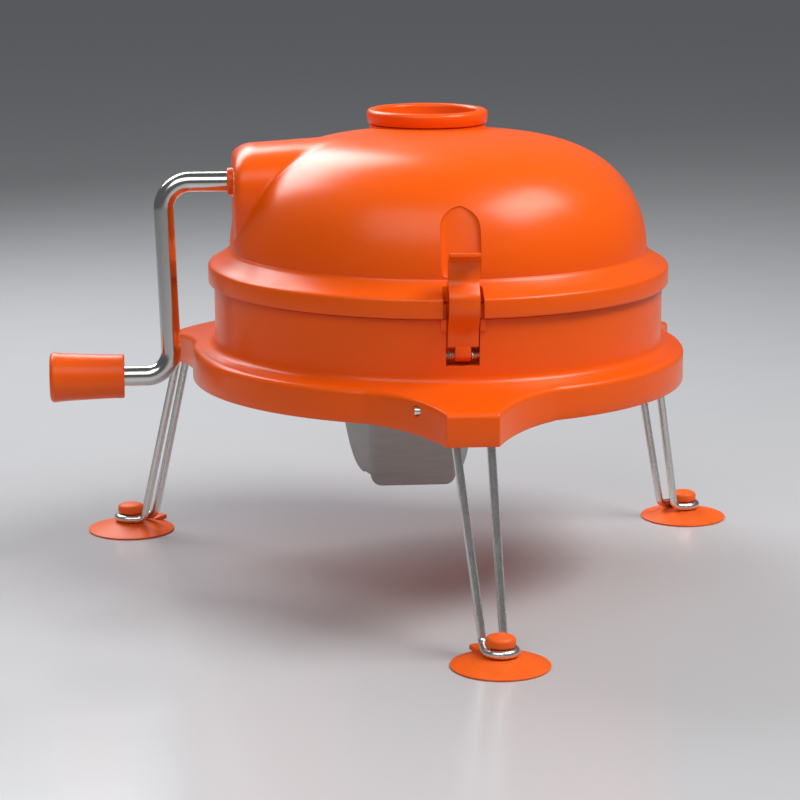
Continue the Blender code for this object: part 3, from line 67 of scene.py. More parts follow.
# Base housing
DRUM_R = 135.7
DRUM_IN = 132.7
RIM_R = 135.2
RIM_TOP = 187.0
FLOOR_TOP = 141.0
FLOOR_BOTTOM = 137.5
SKIRT_R = 149.5
SKIRT_IN = 146.5
SKIRT_TOP = 140.5
SKIRT_BOTTOM = 120.6
LOBES = {"front": (187.0, 4.0), "left": (183.0, 6.5), "right": (183.0, 6.5)}
LOBE_HALF = 14.9
LOBE_WALL = 3.0
LOBE_DROOP_BELOW = 0.095
SLOT_HALF = 9.5
SLOT_BOTTOM = 152.0
POCKET_BACK = 128.3
POCKET_WALL = 2.7
LOBE_ROOT_R = 139.0
PIVOT_BORE_R = 2.8

# Cover
DOME_Z = 198.0
DOME_POWER = 3.75
DOME_WALL = 3.0
FLANGE_BOTTOM = 179.1
FLANGE_BAND_TOP = 190.0
SEAT_Z = 187.3
BULGE_FACE = 124.0
BULGE_HALF = 38.0
BULGE_MIDDLE = 238.0
BULGE_POWER = 2.4
BULGE_TOP = 262.5
BULGE_TOP_INNER = 266.0
BULGE_INNER_X = 60.0
BULGE_CORNER = 11.5
BULGE_SIDE_CORNER = 4.5
BULGE_CREASE = 1.6
FEED_X = -1.5
FEED_Y = 52.0
THROAT_IN = 32.0
THROAT_R = 34.5
COLLAR_R = 35.9
COLLAR_TOP = 268.3
THROAT_BOTTOM = 179.3
SCOOP_HALF = 11.5
SCOOP_TOP = 239.0
NOTCH_BACK = 128.8
SCOOP_FOOT = 124.8
SCOOP_LEAN = 12.4
SCOOP_LIP = 3.5
PAST_SCOOP = 160.0
HINGE_Y = 148.0
HINGE_Z = 183.0
KNUCKLE_R = 5.0
HINGE_BORE_R = 2.3
BUSH_R = 8.8
SHAFT_BOSS_R = 11.5
CARRIER_SCREWS = ((-37.0, -8.0), (-37.0, 8.0), (20.5, -8.0), (20.5, 8.0))

# Latch
LATCH_BACK = 134.5
LATCH_THICK = 2.6
LATCH_HALF = 8.7
LATCH_PIN_Y = 132.1
LATCH_PIN_Z = 157.5
LATCH_PIN_BORE_R = 1.8
LATCH_CURL_Z = 206.0

# Feed cup
CUP_R = 31.4
CUP_IN = 29.4
CUP_BOTTOM = 181.0
CUP_RIM_TOP = 277.2

# Crank and grip
CRANK_Z = 240.0
CRANK_THROW = 118.0
ARM_TOP_X = 165.9
ARM_BOTTOM_X = 162.0
SHAFT_SHOULDER = 43.4
JOURNAL_R = 3.5
GRIP_INNER_X = 191.0
GRIP_OUTER_X = 235.7
ROD_END_X = 225.6

# Legs: bearing of the lobe, side of the open loop, reach of the foot and its step aside
LEGS = (("front", -90.0, 1, 210.25, 12.94), ("left", 151.4, 1, 214.0, 5.0), ("right", 34.0, -1, 199.7, 16.0))
PIVOT_R = 163.0
PIVOT_Z = 132.8
PIVOT_OPEN_END = 30.0
PIVOT_BLIND_END = 24.0
PIVOT_BEND = 4.0
TABS = {"front": 201.0, "left": -106.4, "right": 72.0}
LEG_SPREADS = {"front": 10.3, "left": 6.5, "right": 9.8}
LEG_ELBOW_R = 173.0
LEG_ELBOW_BEND = 4.5
LOOP_BEND = 5.0
FOOT_APPROACH = 13.0
LOOP_R = 8.3
LOOP_Z = 8.6
KNOB_R = 8.3
KNOB_BOTTOM = 11.4
KNOB_HEIGHT = 6.4
PAD_R = 27.75

# Discharge guide
GUIDE_X = -14.0
GUIDE_HALF = 26.5
GUIDE_Y = 8.0
GUIDE_BOTTOM = 48.0
GUIDE_WING = 40.0
GUIDE_FLARE = radians(24.0)
GUIDE_SHEET = 1.2
GUIDE_TOP = 137.2

# Camera fitted to the photo
TURN = radians(6.0)
CAMERA_BACK = 1578.9
CAMERA_UP = 443.6
CAMERA_LENS = 118.25
CAMERA_YAW = -0.0146
CAMERA_PITCH = 0.2122


class CutterSizes(PropertyGroup):
    """Sizes of the moulded and turned pieces."""
    dome_radius: FloatProperty(name="Dome radius", description="Outer radius of the dome, in mm",
                               default=126.3, min=60, max=200)
    dome_height: FloatProperty(name="Dome height", description="Rise of the dome over its flange, in mm",
                               default=70.0, min=20, max=120)
    flange_radius: FloatProperty(name="Flange radius", description="Outer radius of the flange, in mm",
                                 default=139.3, min=70, max=220)
    rod_radius: FloatProperty(name="Rod radius", description="Radius of the crank's rod, in mm",
                              default=6.0, min=3, max=10)
    wire_radius: FloatProperty(name="Wire radius", description="Radius of the leg wires, in mm",
                               default=2.5, min=1, max=5)
    grip_radius: FloatProperty(name="Grip radius", description="Radius of the grip's outer end, in mm",
                               default=15.25, min=10, max=25)
    steps: IntProperty(name="Steps", description="Steps of the large turned shells",
                       default=288, min=48, max=480)


class CutterColours(PropertyGroup):
    """Colours of the finishes."""
    plastic: FloatVectorProperty(name="Plastic", description="Colour of the moulded plastic",
                                 subtype="COLOR", default=(0.87, 0.102, 0.002), min=0, max=1)
    rubber: FloatVectorProperty(name="Rubber", description="Colour of the suction cups",
                                subtype="COLOR", default=(0.88, 0.12, 0.004), min=0, max=1)
    steel: FloatVectorProperty(name="Steel", description="Colour of the bright steel",
                               subtype="COLOR", default=(0.72, 0.70, 0.67), min=0, max=1)
    floor: FloatVectorProperty(name="Floor", description="Colour of the floor",
                               subtype="COLOR", default=(0.52, 0.525, 0.54), min=0, max=1)


class StudioSettings(PropertyGroup):
    """Strength of the studio's lights."""
    key: FloatProperty(name="Key", description="Power of the light behind on the left, in W",
                       default=16.0, min=0)
    main: FloatProperty(name="Main", description="Power of the large light on the right, in W",
                        default=25.0, min=0)
    front: FloatProperty(name="Front", description="Power of the weak light in front, in W",
                         default=18.5, min=0)
    sky: FloatProperty(name="Sky", description="Strength of the even light", default=0.2, min=0)


# Shader building


class Field:
    """A number that varies over a surface, for use in sums."""

    def __init__(self, look, socket):
        self.look = look
        self.socket = socket

    def maths(self, operation, first, second=0.0):
        made = self.look.node("ShaderNodeMath", {"operation": operation}, {0: first, 1: second})
        return Field(self.look, made.outputs[0])

    def __add__(self, other):
        return self.maths("ADD", self, other)

    __radd__ = __add__

    def __mul__(self, other):
        return self.maths("MULTIPLY", self, other)

    def band(self, low, high, start=0.0, end=1.0):
        """The number smoothly spread from one range over another, and held at its ends."""
        settings = {"interpolation_type": "SMOOTHSTEP"}
        made = self.look.node("ShaderNodeMapRange", settings,
                              {0: self, 1: low, 2: high, 3: start, 4: end})
        return Field(self.look, made.outputs[0])


class Look:
    """A material whose nodes are all made by one method."""

    def __init__(self, name):
        self.material = bpy.data.materials.new(name)
        self.material.use_nodes = True
        self.tree = self.material.node_tree
        self.shader = self.tree.nodes["Principled BSDF"]
        self.place = self.node("ShaderNodeTexCoord").outputs["Object"]

    def node(self, kind, settings=None, inputs=None):
        made = self.tree.nodes.new(kind)
        for key, value in (settings or {}).items():
            setattr(made, key, value)
        for key, value in (inputs or {}).items():
            self.plug(made.inputs[key], value)
        return made

    def plug(self, socket, value):
        if isinstance(value, Field):
            value = value.socket
        if isinstance(value, bpy.types.NodeSocket):
            self.tree.links.new(value, socket)
        elif socket.type == "RGBA":
            socket.default_value = (*value, 1.0)
        else:
            socket.default_value = value

    def noise(self, scale, detail=3.0, roughness=0.5, stretch=(1, 1, 1)):
        """Noise on object coordinates: scale is in features per metre."""
        spread = self.node("ShaderNodeMapping", None, {"Vector": self.place, "Scale": stretch})
        made = self.node("ShaderNodeTexNoise", None, {"Vector": spread.outputs[0], "Scale": scale,
                                                      "Detail": detail, "Roughness": roughness})
        return Field(self, made.outputs[0])

    def mixed(self, first, second, share):
        """A colour between two, by a share from 0 to 1."""
        made = self.node("ShaderNodeMix", {"data_type": "RGBA"}, {0: share, 6: first, 7: second})
        return made.outputs[2]

    def bump(self, height, strength, distance, normal=None):
        inputs = {"Height": height, "Strength": strength, "Distance": distance}
        if normal:
            inputs["Normal"] = normal
        return self.node("ShaderNodeBump", None, inputs).outputs[0]

    def soft_edges(self, radius):
        return self.node("ShaderNodeBevel", {"samples": 4}, {"Radius": radius}).outputs[0]

    def finish(self, **sockets):
        for name, value in sockets.items():
            self.plug(self.shader.inputs[name.replace("_", " ").title().replace("Ior", "IOR")], value)
        return self.material


def scaled(colour, by):
    return tuple(min(1.0, part * by) for part in colour)


def moulded_plastic(name, colour, gloss=0.27, edge=0.0005):
    """Satin-gloss moulded plastic: faint orange peel, hazy smudges and slightly rubbed edges."""
    look = Look(name)
    cloud = look.noise(9.0, 2.0)
    grain = look.noise(420.0, 3.0)
    peel = look.noise(2600.0, 2.0)
    smear = look.noise(26.0, 5.0, 0.65, (1, 1, 2.6)).band(0.42, 0.72)
    tone = look.mixed(scaled(colour, 0.965), scaled(colour, 1.03), cloud.band(0.3, 0.7))
    tone = look.mixed(tone, scaled(colour, 0.94), grain.band(0.6, 0.8) * 0.25)
    height = peel * 0.35 + look.noise(160.0, 2.0) * 0.65
    normal = look.bump(height, 0.045, 0.0006, look.soft_edges(edge) if edge else None)
    roughness = gloss + smear * 0.045 + grain * 0.03
    return look.finish(base_color=tone, roughness=roughness, normal=normal, ior=1.36)


def soft_rubber(name, colour):
    """Matt silicone-like rubber with fine dust and a slightly waxy bloom."""
    look = Look(name)
    bloom = look.noise(60.0, 4.0, 0.6)
    dust = look.noise(900.0, 3.0, 0.6).band(0.62, 0.78)
    tone = look.mixed(scaled(colour, 0.95), scaled(colour, 1.04), bloom.band(0.35, 0.65))
    tone = look.mixed(tone, (0.9, 0.42, 0.22), dust * 0.18)
    normal = look.bump(look.noise(1500.0, 3.0), 0.12, 0.0004)
    return look.finish(base_color=tone, roughness=0.42 + bloom * 0.14, normal=normal, ior=1.43)


def drawn_steel(name, colour, roughness, along, strength=0.1):
    """Steel with fine draw lines along one direction and a few dull patches."""
    look = Look(name)
    lines = look.noise(900.0, 4.0, 0.6, along)
    patches = look.noise(45.0, 4.0, 0.6)
    tone = look.mixed(scaled(colour, 0.93), scaled(colour, 1.04), lines.band(0.3, 0.7))
    normal = look.bump(lines, strength, 0.0002)
    rough = roughness + lines * 0.06 + patches.band(0.5, 0.75) * 0.05
    return look.finish(base_color=tone, metallic=1.0, roughness=rough, normal=normal)


def cast_metal(name, colour, roughness, grain=1200.0):
    """Cast or sintered metal: a fine pebbled skin with darker pores."""
    look = Look(name)
    skin = look.noise(grain, 4.0, 0.6)
    pores = look.noise(grain * 0.6, 2.0).band(0.62, 0.7)
    tone = look.mixed(scaled(colour, 1.05), scaled(colour, 0.6), pores * 0.7)
    normal = look.bump(skin, 0.25, 0.0003)
    return look.finish(base_color=tone, metallic=1.0, roughness=roughness + skin * 0.1, normal=normal)


def pale_floor(name, colour):
    """Plain pale table top with a faint sheen."""
    look = Look(name)
    cloud = look.noise(1.3, 3.0)
    tone = look.mixed(scaled(colour, 0.99), scaled(colour, 1.01), cloud)
    rough = 0.2 + look.noise(14.0, 4.0, 0.6) * 0.06
    return look.finish(base_color=tone, roughness=rough, ior=1.45)


# Mesh building


def turned(outline, steps, centre=(0, 0)):
    """Spin a closed (radius, height) outline round the vertical through the centre."""
    bm = bmesh.new()
    points = [bm.verts.new((radius, 0, height)) for radius, height in outline]
    pairs = zip(points, points[1:] + points[:1])
    edges = [bm.edges.new(pair) for pair in pairs if max(vert.co.x for vert in pair) > 1e-6]
    bmesh.ops.spin(bm, geom=points + edges, cent=(0, 0, 0), axis=(0, 0, 1), angle=2 * pi, steps=steps,
                   use_merge=True)
    bmesh.ops.remove_doubles(bm, verts=bm.verts, dist=0.0001)
    bmesh.ops.recalc_face_normals(bm, faces=bm.faces)
    bmesh.ops.translate(bm, vec=(centre[0], centre[1], 0), verts=bm.verts)
    return bm


def along_x(bm, y, z):
    """Lay a turned body down, so that its height becomes -X."""
    bmesh.ops.rotate(bm, cent=(0, 0, 0), matrix=Matrix.Rotation(-pi / 2, 3, "Y"), verts=bm.verts)
    bmesh.ops.translate(bm, vec=(0, y, z), verts=bm.verts)
    return bm


def cross_bore(radius, half, steps, y, z):
    """Cutter of a round bore along X, as far to each side of the middle."""
    return along_x(turned([(0, -half), (radius, -half), (radius, half), (0, half)], steps), y, z)


def along_y(bm, x, z):
    """Lay a turned body down, so that its height becomes +Y."""
    bmesh.ops.rotate(bm, cent=(0, 0, 0), matrix=Matrix.Rotation(-pi / 2, 3, "X"), verts=bm.verts)
    bmesh.ops.translate(bm, vec=(x, 0, z), verts=bm.verts)
    return bm


def block(x0, x1, y0, y1, z0, z1, edge=0.0):
    bm = bmesh.new()
    size = Matrix.Diagonal((x1 - x0, y1 - y0, z1 - z0, 1))
    middle = Matrix.Translation(((x0 + x1) / 2, (y0 + y1) / 2, (z0 + z1) / 2))
    bmesh.ops.create_cube(bm, size=1, matrix=middle @ size)
    if edge:
        bmesh.ops.bevel(bm, geom=bm.edges[:], offset=edge, segments=3, profile=0.5, affect="EDGES",
                        material=-1)
    bmesh.ops.recalc_face_normals(bm, faces=bm.faces)
    return bm


def prism(outline, direction, edge=0.0):
    """Extrude a closed outline of 3-D points, and round its edges."""
    bm = bmesh.new()
    face = bm.faces.new([bm.verts.new(point) for point in outline])
    grown = bmesh.ops.extrude_face_region(bm, geom=[face])
    moved = [item for item in grown["geom"] if isinstance(item, bmesh.types.BMVert)]
    bmesh.ops.translate(bm, vec=direction, verts=moved)
    bmesh.ops.recalc_face_normals(bm, faces=bm.faces)
    if edge:
        sharp = [item for item in bm.edges if item.calc_face_angle(0) > radians(28)]
        bmesh.ops.bevel(bm, geom=sharp, offset=edge, segments=2, profile=0.5, affect="EDGES", material=-1)
    return bm


def side_prism(outline, half, middle=0.0, edge=0.0):
    """Extrude a (y, z) outline along X, as far to each side of the middle."""
    return prism([(middle - half, y, z) for y, z in outline], (2 * half, 0, 0), edge)


def turned_about_axis(bm, bearing):
    bmesh.ops.rotate(bm, cent=(0, 0, 0), matrix=Matrix.Rotation(radians(bearing), 3, "Z"),
                     verts=bm.verts)
    return bm


def holder(bm):
    mesh = bpy.data.meshes.new("step")
    bm.to_mesh(mesh)
    bm.free()
    thing = bpy.data.objects.new("step", mesh)
    bpy.context.scene.collection.objects.link(thing)
    return thing


def evaluated(thing):
    """Mesh of an object with its modifiers, as a bmesh. The object goes."""
    graph = bpy.context.evaluated_depsgraph_get()
    mesh = bpy.data.meshes.new_from_object(thing.evaluated_get(graph))
    bm = bmesh.new()
    bm.from_mesh(mesh)
    bpy.data.meshes.remove(mesh)
    bpy.data.objects.remove(thing)
    return bm


def combined(bm, tool, operation):
    """The body with a tool cut from it or joined to it."""
    body = holder(bm)
    other = holder(tool)
    step = body.modifiers.new("step", "BOOLEAN")
    step.operation = operation
    step.solver = "EXACT"
    step.object = other
    made = evaluated(body)
    bpy.data.objects.remove(other)
    return made


def cut(bm, tool):
    return combined(bm, tool, "DIFFERENCE")


def join(bm, tool):
    return combined(bm, tool, "UNION")


def wire(path, radius, rounds=5):
    """Round bar along a path, with closed ends."""
    line = bpy.data.curves.new("line", "CURVE")
    line.dimensions = "3D"
    line.bevel_depth = radius
    line.bevel_resolution = rounds
    line.use_fill_caps = True
    spline = line.splines.new("POLY")
    spline.points.add(len(path) - 1)
    for point, place in zip(spline.points, path):
        point.co = (*place, 1)
    thing = bpy.data.objects.new("line", line)
    bpy.context.scene.collection.objects.link(thing)
    bm = evaluated(thing)
    bpy.data.curves.remove(line)
    bmesh.ops.remove_doubles(bm, verts=bm.verts, dist=0.0001)
    bmesh.ops.recalc_face_normals(bm, faces=bm.faces)
    return bm


def piece(name, bm, body, look, stands_for=(), smooth=35.0):
    """Put a finished body in the row frame, let it ride and hide the solids it stands for."""
    bmesh.ops.transform(bm, matrix=TO_ROW, verts=bm.verts)
    mesh = bpy.data.meshes.new(name)
    bm.to_mesh(mesh)
    bm.free()
    mesh.shade_smooth()
    mesh.set_sharp_from_angle(angle=radians(smooth))
    mesh.materials.append(look)
    thing = bpy.data.objects.new(name, mesh)
    bpy.context.scene.collection.objects.link(thing)
    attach(thing, body)
    if stands_for:
        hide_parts(*stands_for)
    return thing


def arc(a, b, radius, start, end, steps, other=None):
    """Points of an arc or an ellipse's arc, from a start to an end angle in degrees."""
    points = []
    for index in range(steps + 1):
        angle = radians(start + (end - start) * index / steps)
        points.append((a + radius * cos(angle), b + (other or radius) * sin(angle)))
    return points


def bend(before, corner, after, radius, steps=10):
    """Points of the arc that rounds a corner."""
    into = (corner - before).normalized()
    out = (after - corner).normalized()
    turn = acos(max(-1.0, min(1.0, into.dot(out))))
    first = corner - into * (radius * tan(turn / 2))
    inward = (out - into * into.dot(out)).normalized()
    points = []
    for index in range(steps + 1):
        angle = turn * index / steps
        points.append(first + into * (radius * sin(angle)) + inward * (radius * (1 - cos(angle))))
    return points


def crowd(bm, places, width, gain):
    """Move the steps of a turned body closer together round some bearings, in degrees."""
    grid = np.linspace(0, 2 * pi, 7201)
    density = np.ones_like(grid)
    for place in places:
        away = (grid - radians(place) + pi) % (2 * pi) - pi
        density += gain * np.exp(-((away / radians(width)) ** 2))
    total = np.concatenate([[0], np.cumsum((density[1:] + density[:-1]) / 2)])
    total *= 2 * pi / total[-1]
    for vert in bm.verts:
        radius = hypot(vert.co.x, vert.co.y)
        if radius > 0.001:
            even = np.arctan2(vert.co.y, vert.co.x) % (2 * pi)
            angle = float(np.interp(even, total, grid))
            vert.co.x = radius * cos(angle)
            vert.co.y = radius * sin(angle)


def round_meet(first, second, radius):
    """Signed distance to where two bodies overlap, with the edge rounded."""
    corner = np.hypot(np.maximum(first + radius, 0), np.maximum(second + radius, 0))
    return np.minimum(-radius, np.maximum(first, second)) + corner


def round_join(first, second, radius):
    """Signed distance to two bodies together, with the crease filled."""
    return -round_meet(-first, -second, radius)


# Cover


def dome_rows(radius, height, side, top):
    """Section of the dome from the axis down to its foot, as (radius, height) pairs."""
    rows = []
    for index in range(top + 1):
        reach = 0.82 * radius * index / top
        rows.append((reach, DOME_Z + height * sqrt(1 - (reach / radius) ** DOME_POWER)))
    start = rows[-1][1]
    for index in range(1, side + 1):
        z = start + (DOME_Z - start) * (index / side) ** 0.93
        rows.append((radius * (1 - min(1.0, ((z - DOME_Z) / height) ** 2)) ** (1 / DOME_POWER), z))
    return rows


def shell_distance(points, inset, radius, height):
    """Signed distance to the dome with the shaft housing's bulge, with the wall's inset."""
    x, y, z = points.T
    across = np.hypot(x, y)
    radius, height = radius - inset, height - inset
    up = np.maximum(z - DOME_Z, 0)
    level = (across / radius) ** DOME_POWER + (up / height) ** 2 - 1
    slope = np.hypot(DOME_POWER * (across / radius) ** (DOME_POWER - 1) / radius, 2 * up / height ** 2)
    dome = level / np.maximum(slope, 0.004)
    rise = (BULGE_TOP_INNER - BULGE_TOP) / (BULGE_FACE - BULGE_CORNER - BULGE_INNER_X)
    top = np.minimum(BULGE_TOP + rise * (x + BULGE_FACE - BULGE_CORNER), BULGE_TOP_INNER)
    top = top - inset - BULGE_MIDDLE
    half = BULGE_HALF - inset
    above = z > BULGE_MIDDLE
    tall = np.where(above, top, half)
    power = np.where(above, BULGE_POWER, 2.0)
    wide, high = np.abs(y) / half, np.abs(z - BULGE_MIDDLE) / tall
    slope = power * np.hypot(wide ** (power - 1) / half, high ** (power - 1) / tall)
    section = (wide ** power + high ** power - 1) / np.maximum(slope, 0.004)
    share = np.where(above, np.minimum(high, 1), 0) ** 2
    corner = BULGE_SIDE_CORNER + (BULGE_CORNER - BULGE_SIDE_CORNER) * share
    box = round_meet(-x - BULGE_FACE + inset, section, corner - inset)
    return round_join(dome, box, BULGE_CREASE)


def push_bulge(bm, inset, radius, height):
    """Move the dome's points out to the bulge, along rays from a place inside it."""
    verts = []
    for vert in bm.verts:
        across = hypot(vert.co.x, vert.co.y)
        up = (vert.co.z - DOME_Z) / (height - inset)
        level = (across / (radius - inset)) ** DOME_POWER + up ** 2 - 1
        if abs(level) < 0.003 and vert.co.z > DOME_Z + 1 and vert.co.x < -20 and abs(vert.co.y) < 90:
            verts.append(vert)
    start = np.array((-88.0, 0.0, 214.0))
    places = np.array([vert.co[:] for vert in verts])
    rays = places - start
    low = np.full(len(verts), 0.98)
    high = np.full(len(verts), 1.9)
    for _ in range(34):
        middle = (low + high) / 2
        inside = shell_distance(start + rays * middle[:, None], inset, radius, height) < 0
        low = np.where(inside, middle, low)
        high = np.where(inside, high, middle)
    for vert, place in zip(verts, start + rays * low[:, None]):
        vert.co = place


def scoop_back(z):
    share = (z - DOME_Z - 4) / (SCOOP_TOP - DOME_Z - 4)
    return SCOOP_FOOT - SCOOP_LEAN * share ** 1.15


def scoop():
    """Cutter of the latch's recess: hollow across, round at its top, open through the flange."""
    bm = bmesh.new()
    centre = SCOOP_TOP - SCOOP_HALF
    levels = [(FLANGE_BOTTOM - 3, SCOOP_HALF, NOTCH_BACK, 9.0), (DOME_Z - 1, SCOOP_HALF, NOTCH_BACK, 7.0)]
    for z in np.linspace(DOME_Z + 4, centre, 6):
        levels.append((z, SCOOP_HALF, scoop_back(z), 4.0))
    for turn in range(8, 89, 8):
        z = centre + SCOOP_HALF * sin(radians(turn))
        levels.append((z, SCOOP_HALF * cos(radians(turn)), scoop_back(z), 3.4))
    rings = []
    for z, half, back, power in levels:
        lip = -back - SCOOP_LIP
        ring = [bm.verts.new((half, -PAST_SCOOP, z)), bm.verts.new((half, lip, z))]
        for turn in range(15, 180, 15):
            across = abs(cos(radians(turn))) ** (2 / power) * (1 if turn < 90 else -1)
            deep = sin(radians(turn)) ** (2 / power)
            ring.append(bm.verts.new((half * across, lip + SCOOP_LIP * deep, z)))
        ring += [bm.verts.new((-half, lip, z)), bm.verts.new((-half, -PAST_SCOOP, z))]
        rings.append(ring)
    edges = [[bm.edges.new(pair) for pair in zip(ring, ring[1:] + ring[:1])] for ring in rings]
    for lower, upper in zip(edges, edges[1:]):
        bmesh.ops.bridge_loops(bm, edges=lower + upper)
    bm.faces.new(rings[0])
    bm.faces.new(rings[-1])
    bmesh.ops.recalc_face_normals(bm, faces=bm.faces)
    return bm


def cover_shell(sizes):
    radius, height, flange = sizes.dome_radius, sizes.dome_height, sizes.flange_radius
    outline = dome_rows(radius, height, 38, 34)[:-1]
    outline += [(radius + 0.1, DOME_Z + 1.6), (radius + 0.5, DOME_Z + 0.7), (radius + 1.7, DOME_Z - 0.5)]
    outline += [(radius + 3.7, DOME_Z - 2.1), (radius + 5.7, DOME_Z - 3.7), (flange - 5.3, DOME_Z - 5.1)]
    outline += [(flange - 3.3, DOME_Z - 6.1), (flange - 1.3, DOME_Z - 7.2), (flange - 0.6, DOME_Z - 7.7)]
    outline += [(flange - 0.15, DOME_Z - 8.4), (flange, DOME_Z - 9.2), (flange, 184.0)]
    outline += arc(flange - 0.9, FLANGE_BOTTOM + 0.9, 0.9, 0, -90, 3)
    outline += [(flange - 3, FLANGE_BOTTOM), (flange - 3, SEAT_Z), (radius - DOME_WALL, SEAT_Z)]
    outline += list(reversed(dome_rows(radius - DOME_WALL, height - DOME_WALL, 12, 10)))
    bm = turned(outline, sizes.steps)
    crowd(bm, [180], 24, 2.6)
    push_bulge(bm, 0.0, radius, height)
    push_bulge(bm, DOME_WALL, radius, height)
    bm = join(bm, side_prism([(-104.3, 242.5), (-112.8, 224.0), (-118.8, 208.0), (-121.3, 198.0),
                              (-124.6, 198.0), (-124.4, 207.0), (-120.4, 222.0), (-112.8, 237.0),
                              (-107.8, 243.0)], SCOOP_HALF + 2.8))
    bm = cut(bm, scoop())
    centre = (FEED_X, FEED_Y)
    middle = (THROAT_IN + THROAT_R) / 2
    bm = cut(bm, turned([(0, DOME_Z), (middle, DOME_Z), (middle, COLLAR_TOP + 9), (0, COLLAR_TOP + 9)],
                        90, centre))
    throat = [(THROAT_IN, THROAT_BOTTOM), (THROAT_R, THROAT_BOTTOM), (THROAT_R, COLLAR_TOP - 20)]
    throat += [(COLLAR_R, COLLAR_TOP - 18), (COLLAR_R, COLLAR_TOP - 0.5), (COLLAR_R - 0.5, COLLAR_TOP)]
    throat += [(THROAT_IN, COLLAR_TOP)]
    bm = join(bm, turned(throat, 128, centre))
    lip_r = sizes.rod_radius + 2.2
    opening = [(0, 106), (BUSH_R + 1, 106), (BUSH_R + 1, 132), (0, 132)]
    bm = cut(bm, along_x(turned(opening, 40), 0, CRANK_Z))
    face = BULGE_FACE - 0.4
    boss = [(BUSH_R, 111), (SHAFT_BOSS_R, 111), (SHAFT_BOSS_R, face), (lip_r + 0.8, face)]
    boss += [(lip_r, face + 0.5)]
    boss += arc(lip_r - 1.0, BULGE_FACE + 2.5, 1.0, 0, 90, 4)
    boss += [(sizes.rod_radius + 0.6, BULGE_FACE + 3.5), (sizes.rod_radius + 0.6, BULGE_FACE - 1)]
    boss += [(BUSH_R, BULGE_FACE - 1)]
    bm = join(bm, along_x(turned(boss, 64), 0, CRANK_Z))
    knuckle = [(flange - 1.8, HINGE_Z - 2)] + arc(HINGE_Y, HINGE_Z, KNUCKLE_R, -110, 90, 18)
    knuckle += [(flange - 1.8, FLANGE_BAND_TOP - 0.5)]
    bm = join(bm, side_prism(knuckle, 11.0, edge=0.5))
    bm = cut(bm, cross_bore(HINGE_BORE_R, 16, 32, HINGE_Y, HINGE_Z))
    for x, y in CARRIER_SCREWS:
        bm = join(bm, turned([(2.3, 258.8), (4.8, 258.8), (4.8, 266.2), (2.3, 266.2)], 30, (x, y)))
    catch = [(-127.3, 193.1), (-134.0, 193.5), (-134.8, 194.3), (-134.8, 196.5), (-127.3, 196.5)]
    return join(bm, side_prism(catch, 7.5))


# Base housing


def lobe_reach(inset, tip):
    """Angles off a lobe's middle, in radians, and how far its wall stands out there."""
    half = LOBE_HALF - inset * 0.9
    points = [(tip - inset, across) for across in np.linspace(0, half - 0.8, 8)]
    points += arc(tip - inset - 0.8, half - 0.8, 0.8, 80, 15, 4)[::-1]
    start = Vector((tip - inset - 0.9, half))
    middle = Vector((SKIRT_R + 8.5, LOBE_HALF + 13.0 - inset * 1.1))
    end = Vector((SKIRT_R - 9.0 + inset * 0.3, LOBE_HALF + 37.0 - inset * 1.3))
    for share in np.linspace(0.04, 1, 26):
        place = start * (1 - share) ** 2 + middle * (2 * share * (1 - share)) + end * share ** 2
        points.append(tuple(place))
    angles = np.array([np.arctan2(across, out) for out, across in points])
    reach = np.array([hypot(out, across) for out, across in points])
    order = np.argsort(angles)
    return angles[order], reach[order]


def push_lobes(bm):
    """Carry the skirt's outer part out along the lobes, which droop towards their tips."""
    walls = []
    for name, bearing, *_ in LEGS:
        tip = LOBES[name][0]
        walls.append((bearing, LOBES[name], lobe_reach(0.0, tip), lobe_reach(LOBE_WALL, tip)))
    for vert in bm.verts:
        radius = hypot(vert.co.x, vert.co.y)
        if radius < LOBE_ROOT_R or vert.co.z > SKIRT_TOP + 1.5:
            continue
        inside = vert.co.z < FLOOR_BOTTOM + 0.1 and radius < SKIRT_IN + 0.2
        limit = SKIRT_IN if inside else SKIRT_R
        angle = np.arctan2(vert.co.y, vert.co.x)
        out, tip, drop = 0.0, LOBES["front"][0], 0.0
        for bearing, (lobe_tip, lobe_drop), outer, inner in walls:
            away = abs((angle - radians(bearing) + pi) % (2 * pi) - pi)
            angles, reach = inner if inside else outer
            if away < angles[-1]:
                proud = float(np.interp(away, angles, reach)) - limit
                out, tip, drop = proud / 2 + sqrt(proud ** 2 / 4 + 1.1), lobe_tip, lobe_drop
        weight = min(1.0, max(0.0, (radius - LOBE_ROOT_R) / (SKIRT_IN - LOBE_ROOT_R)))
        step = out * weight
        vert.co.x *= (radius + step) / radius
        vert.co.y *= (radius + step) / radius
        upper = vert.co.z > 130
        vert.co.z -= drop * (step / (tip - SKIRT_R)) ** 1.6 if upper else step * LOBE_DROOP_BELOW


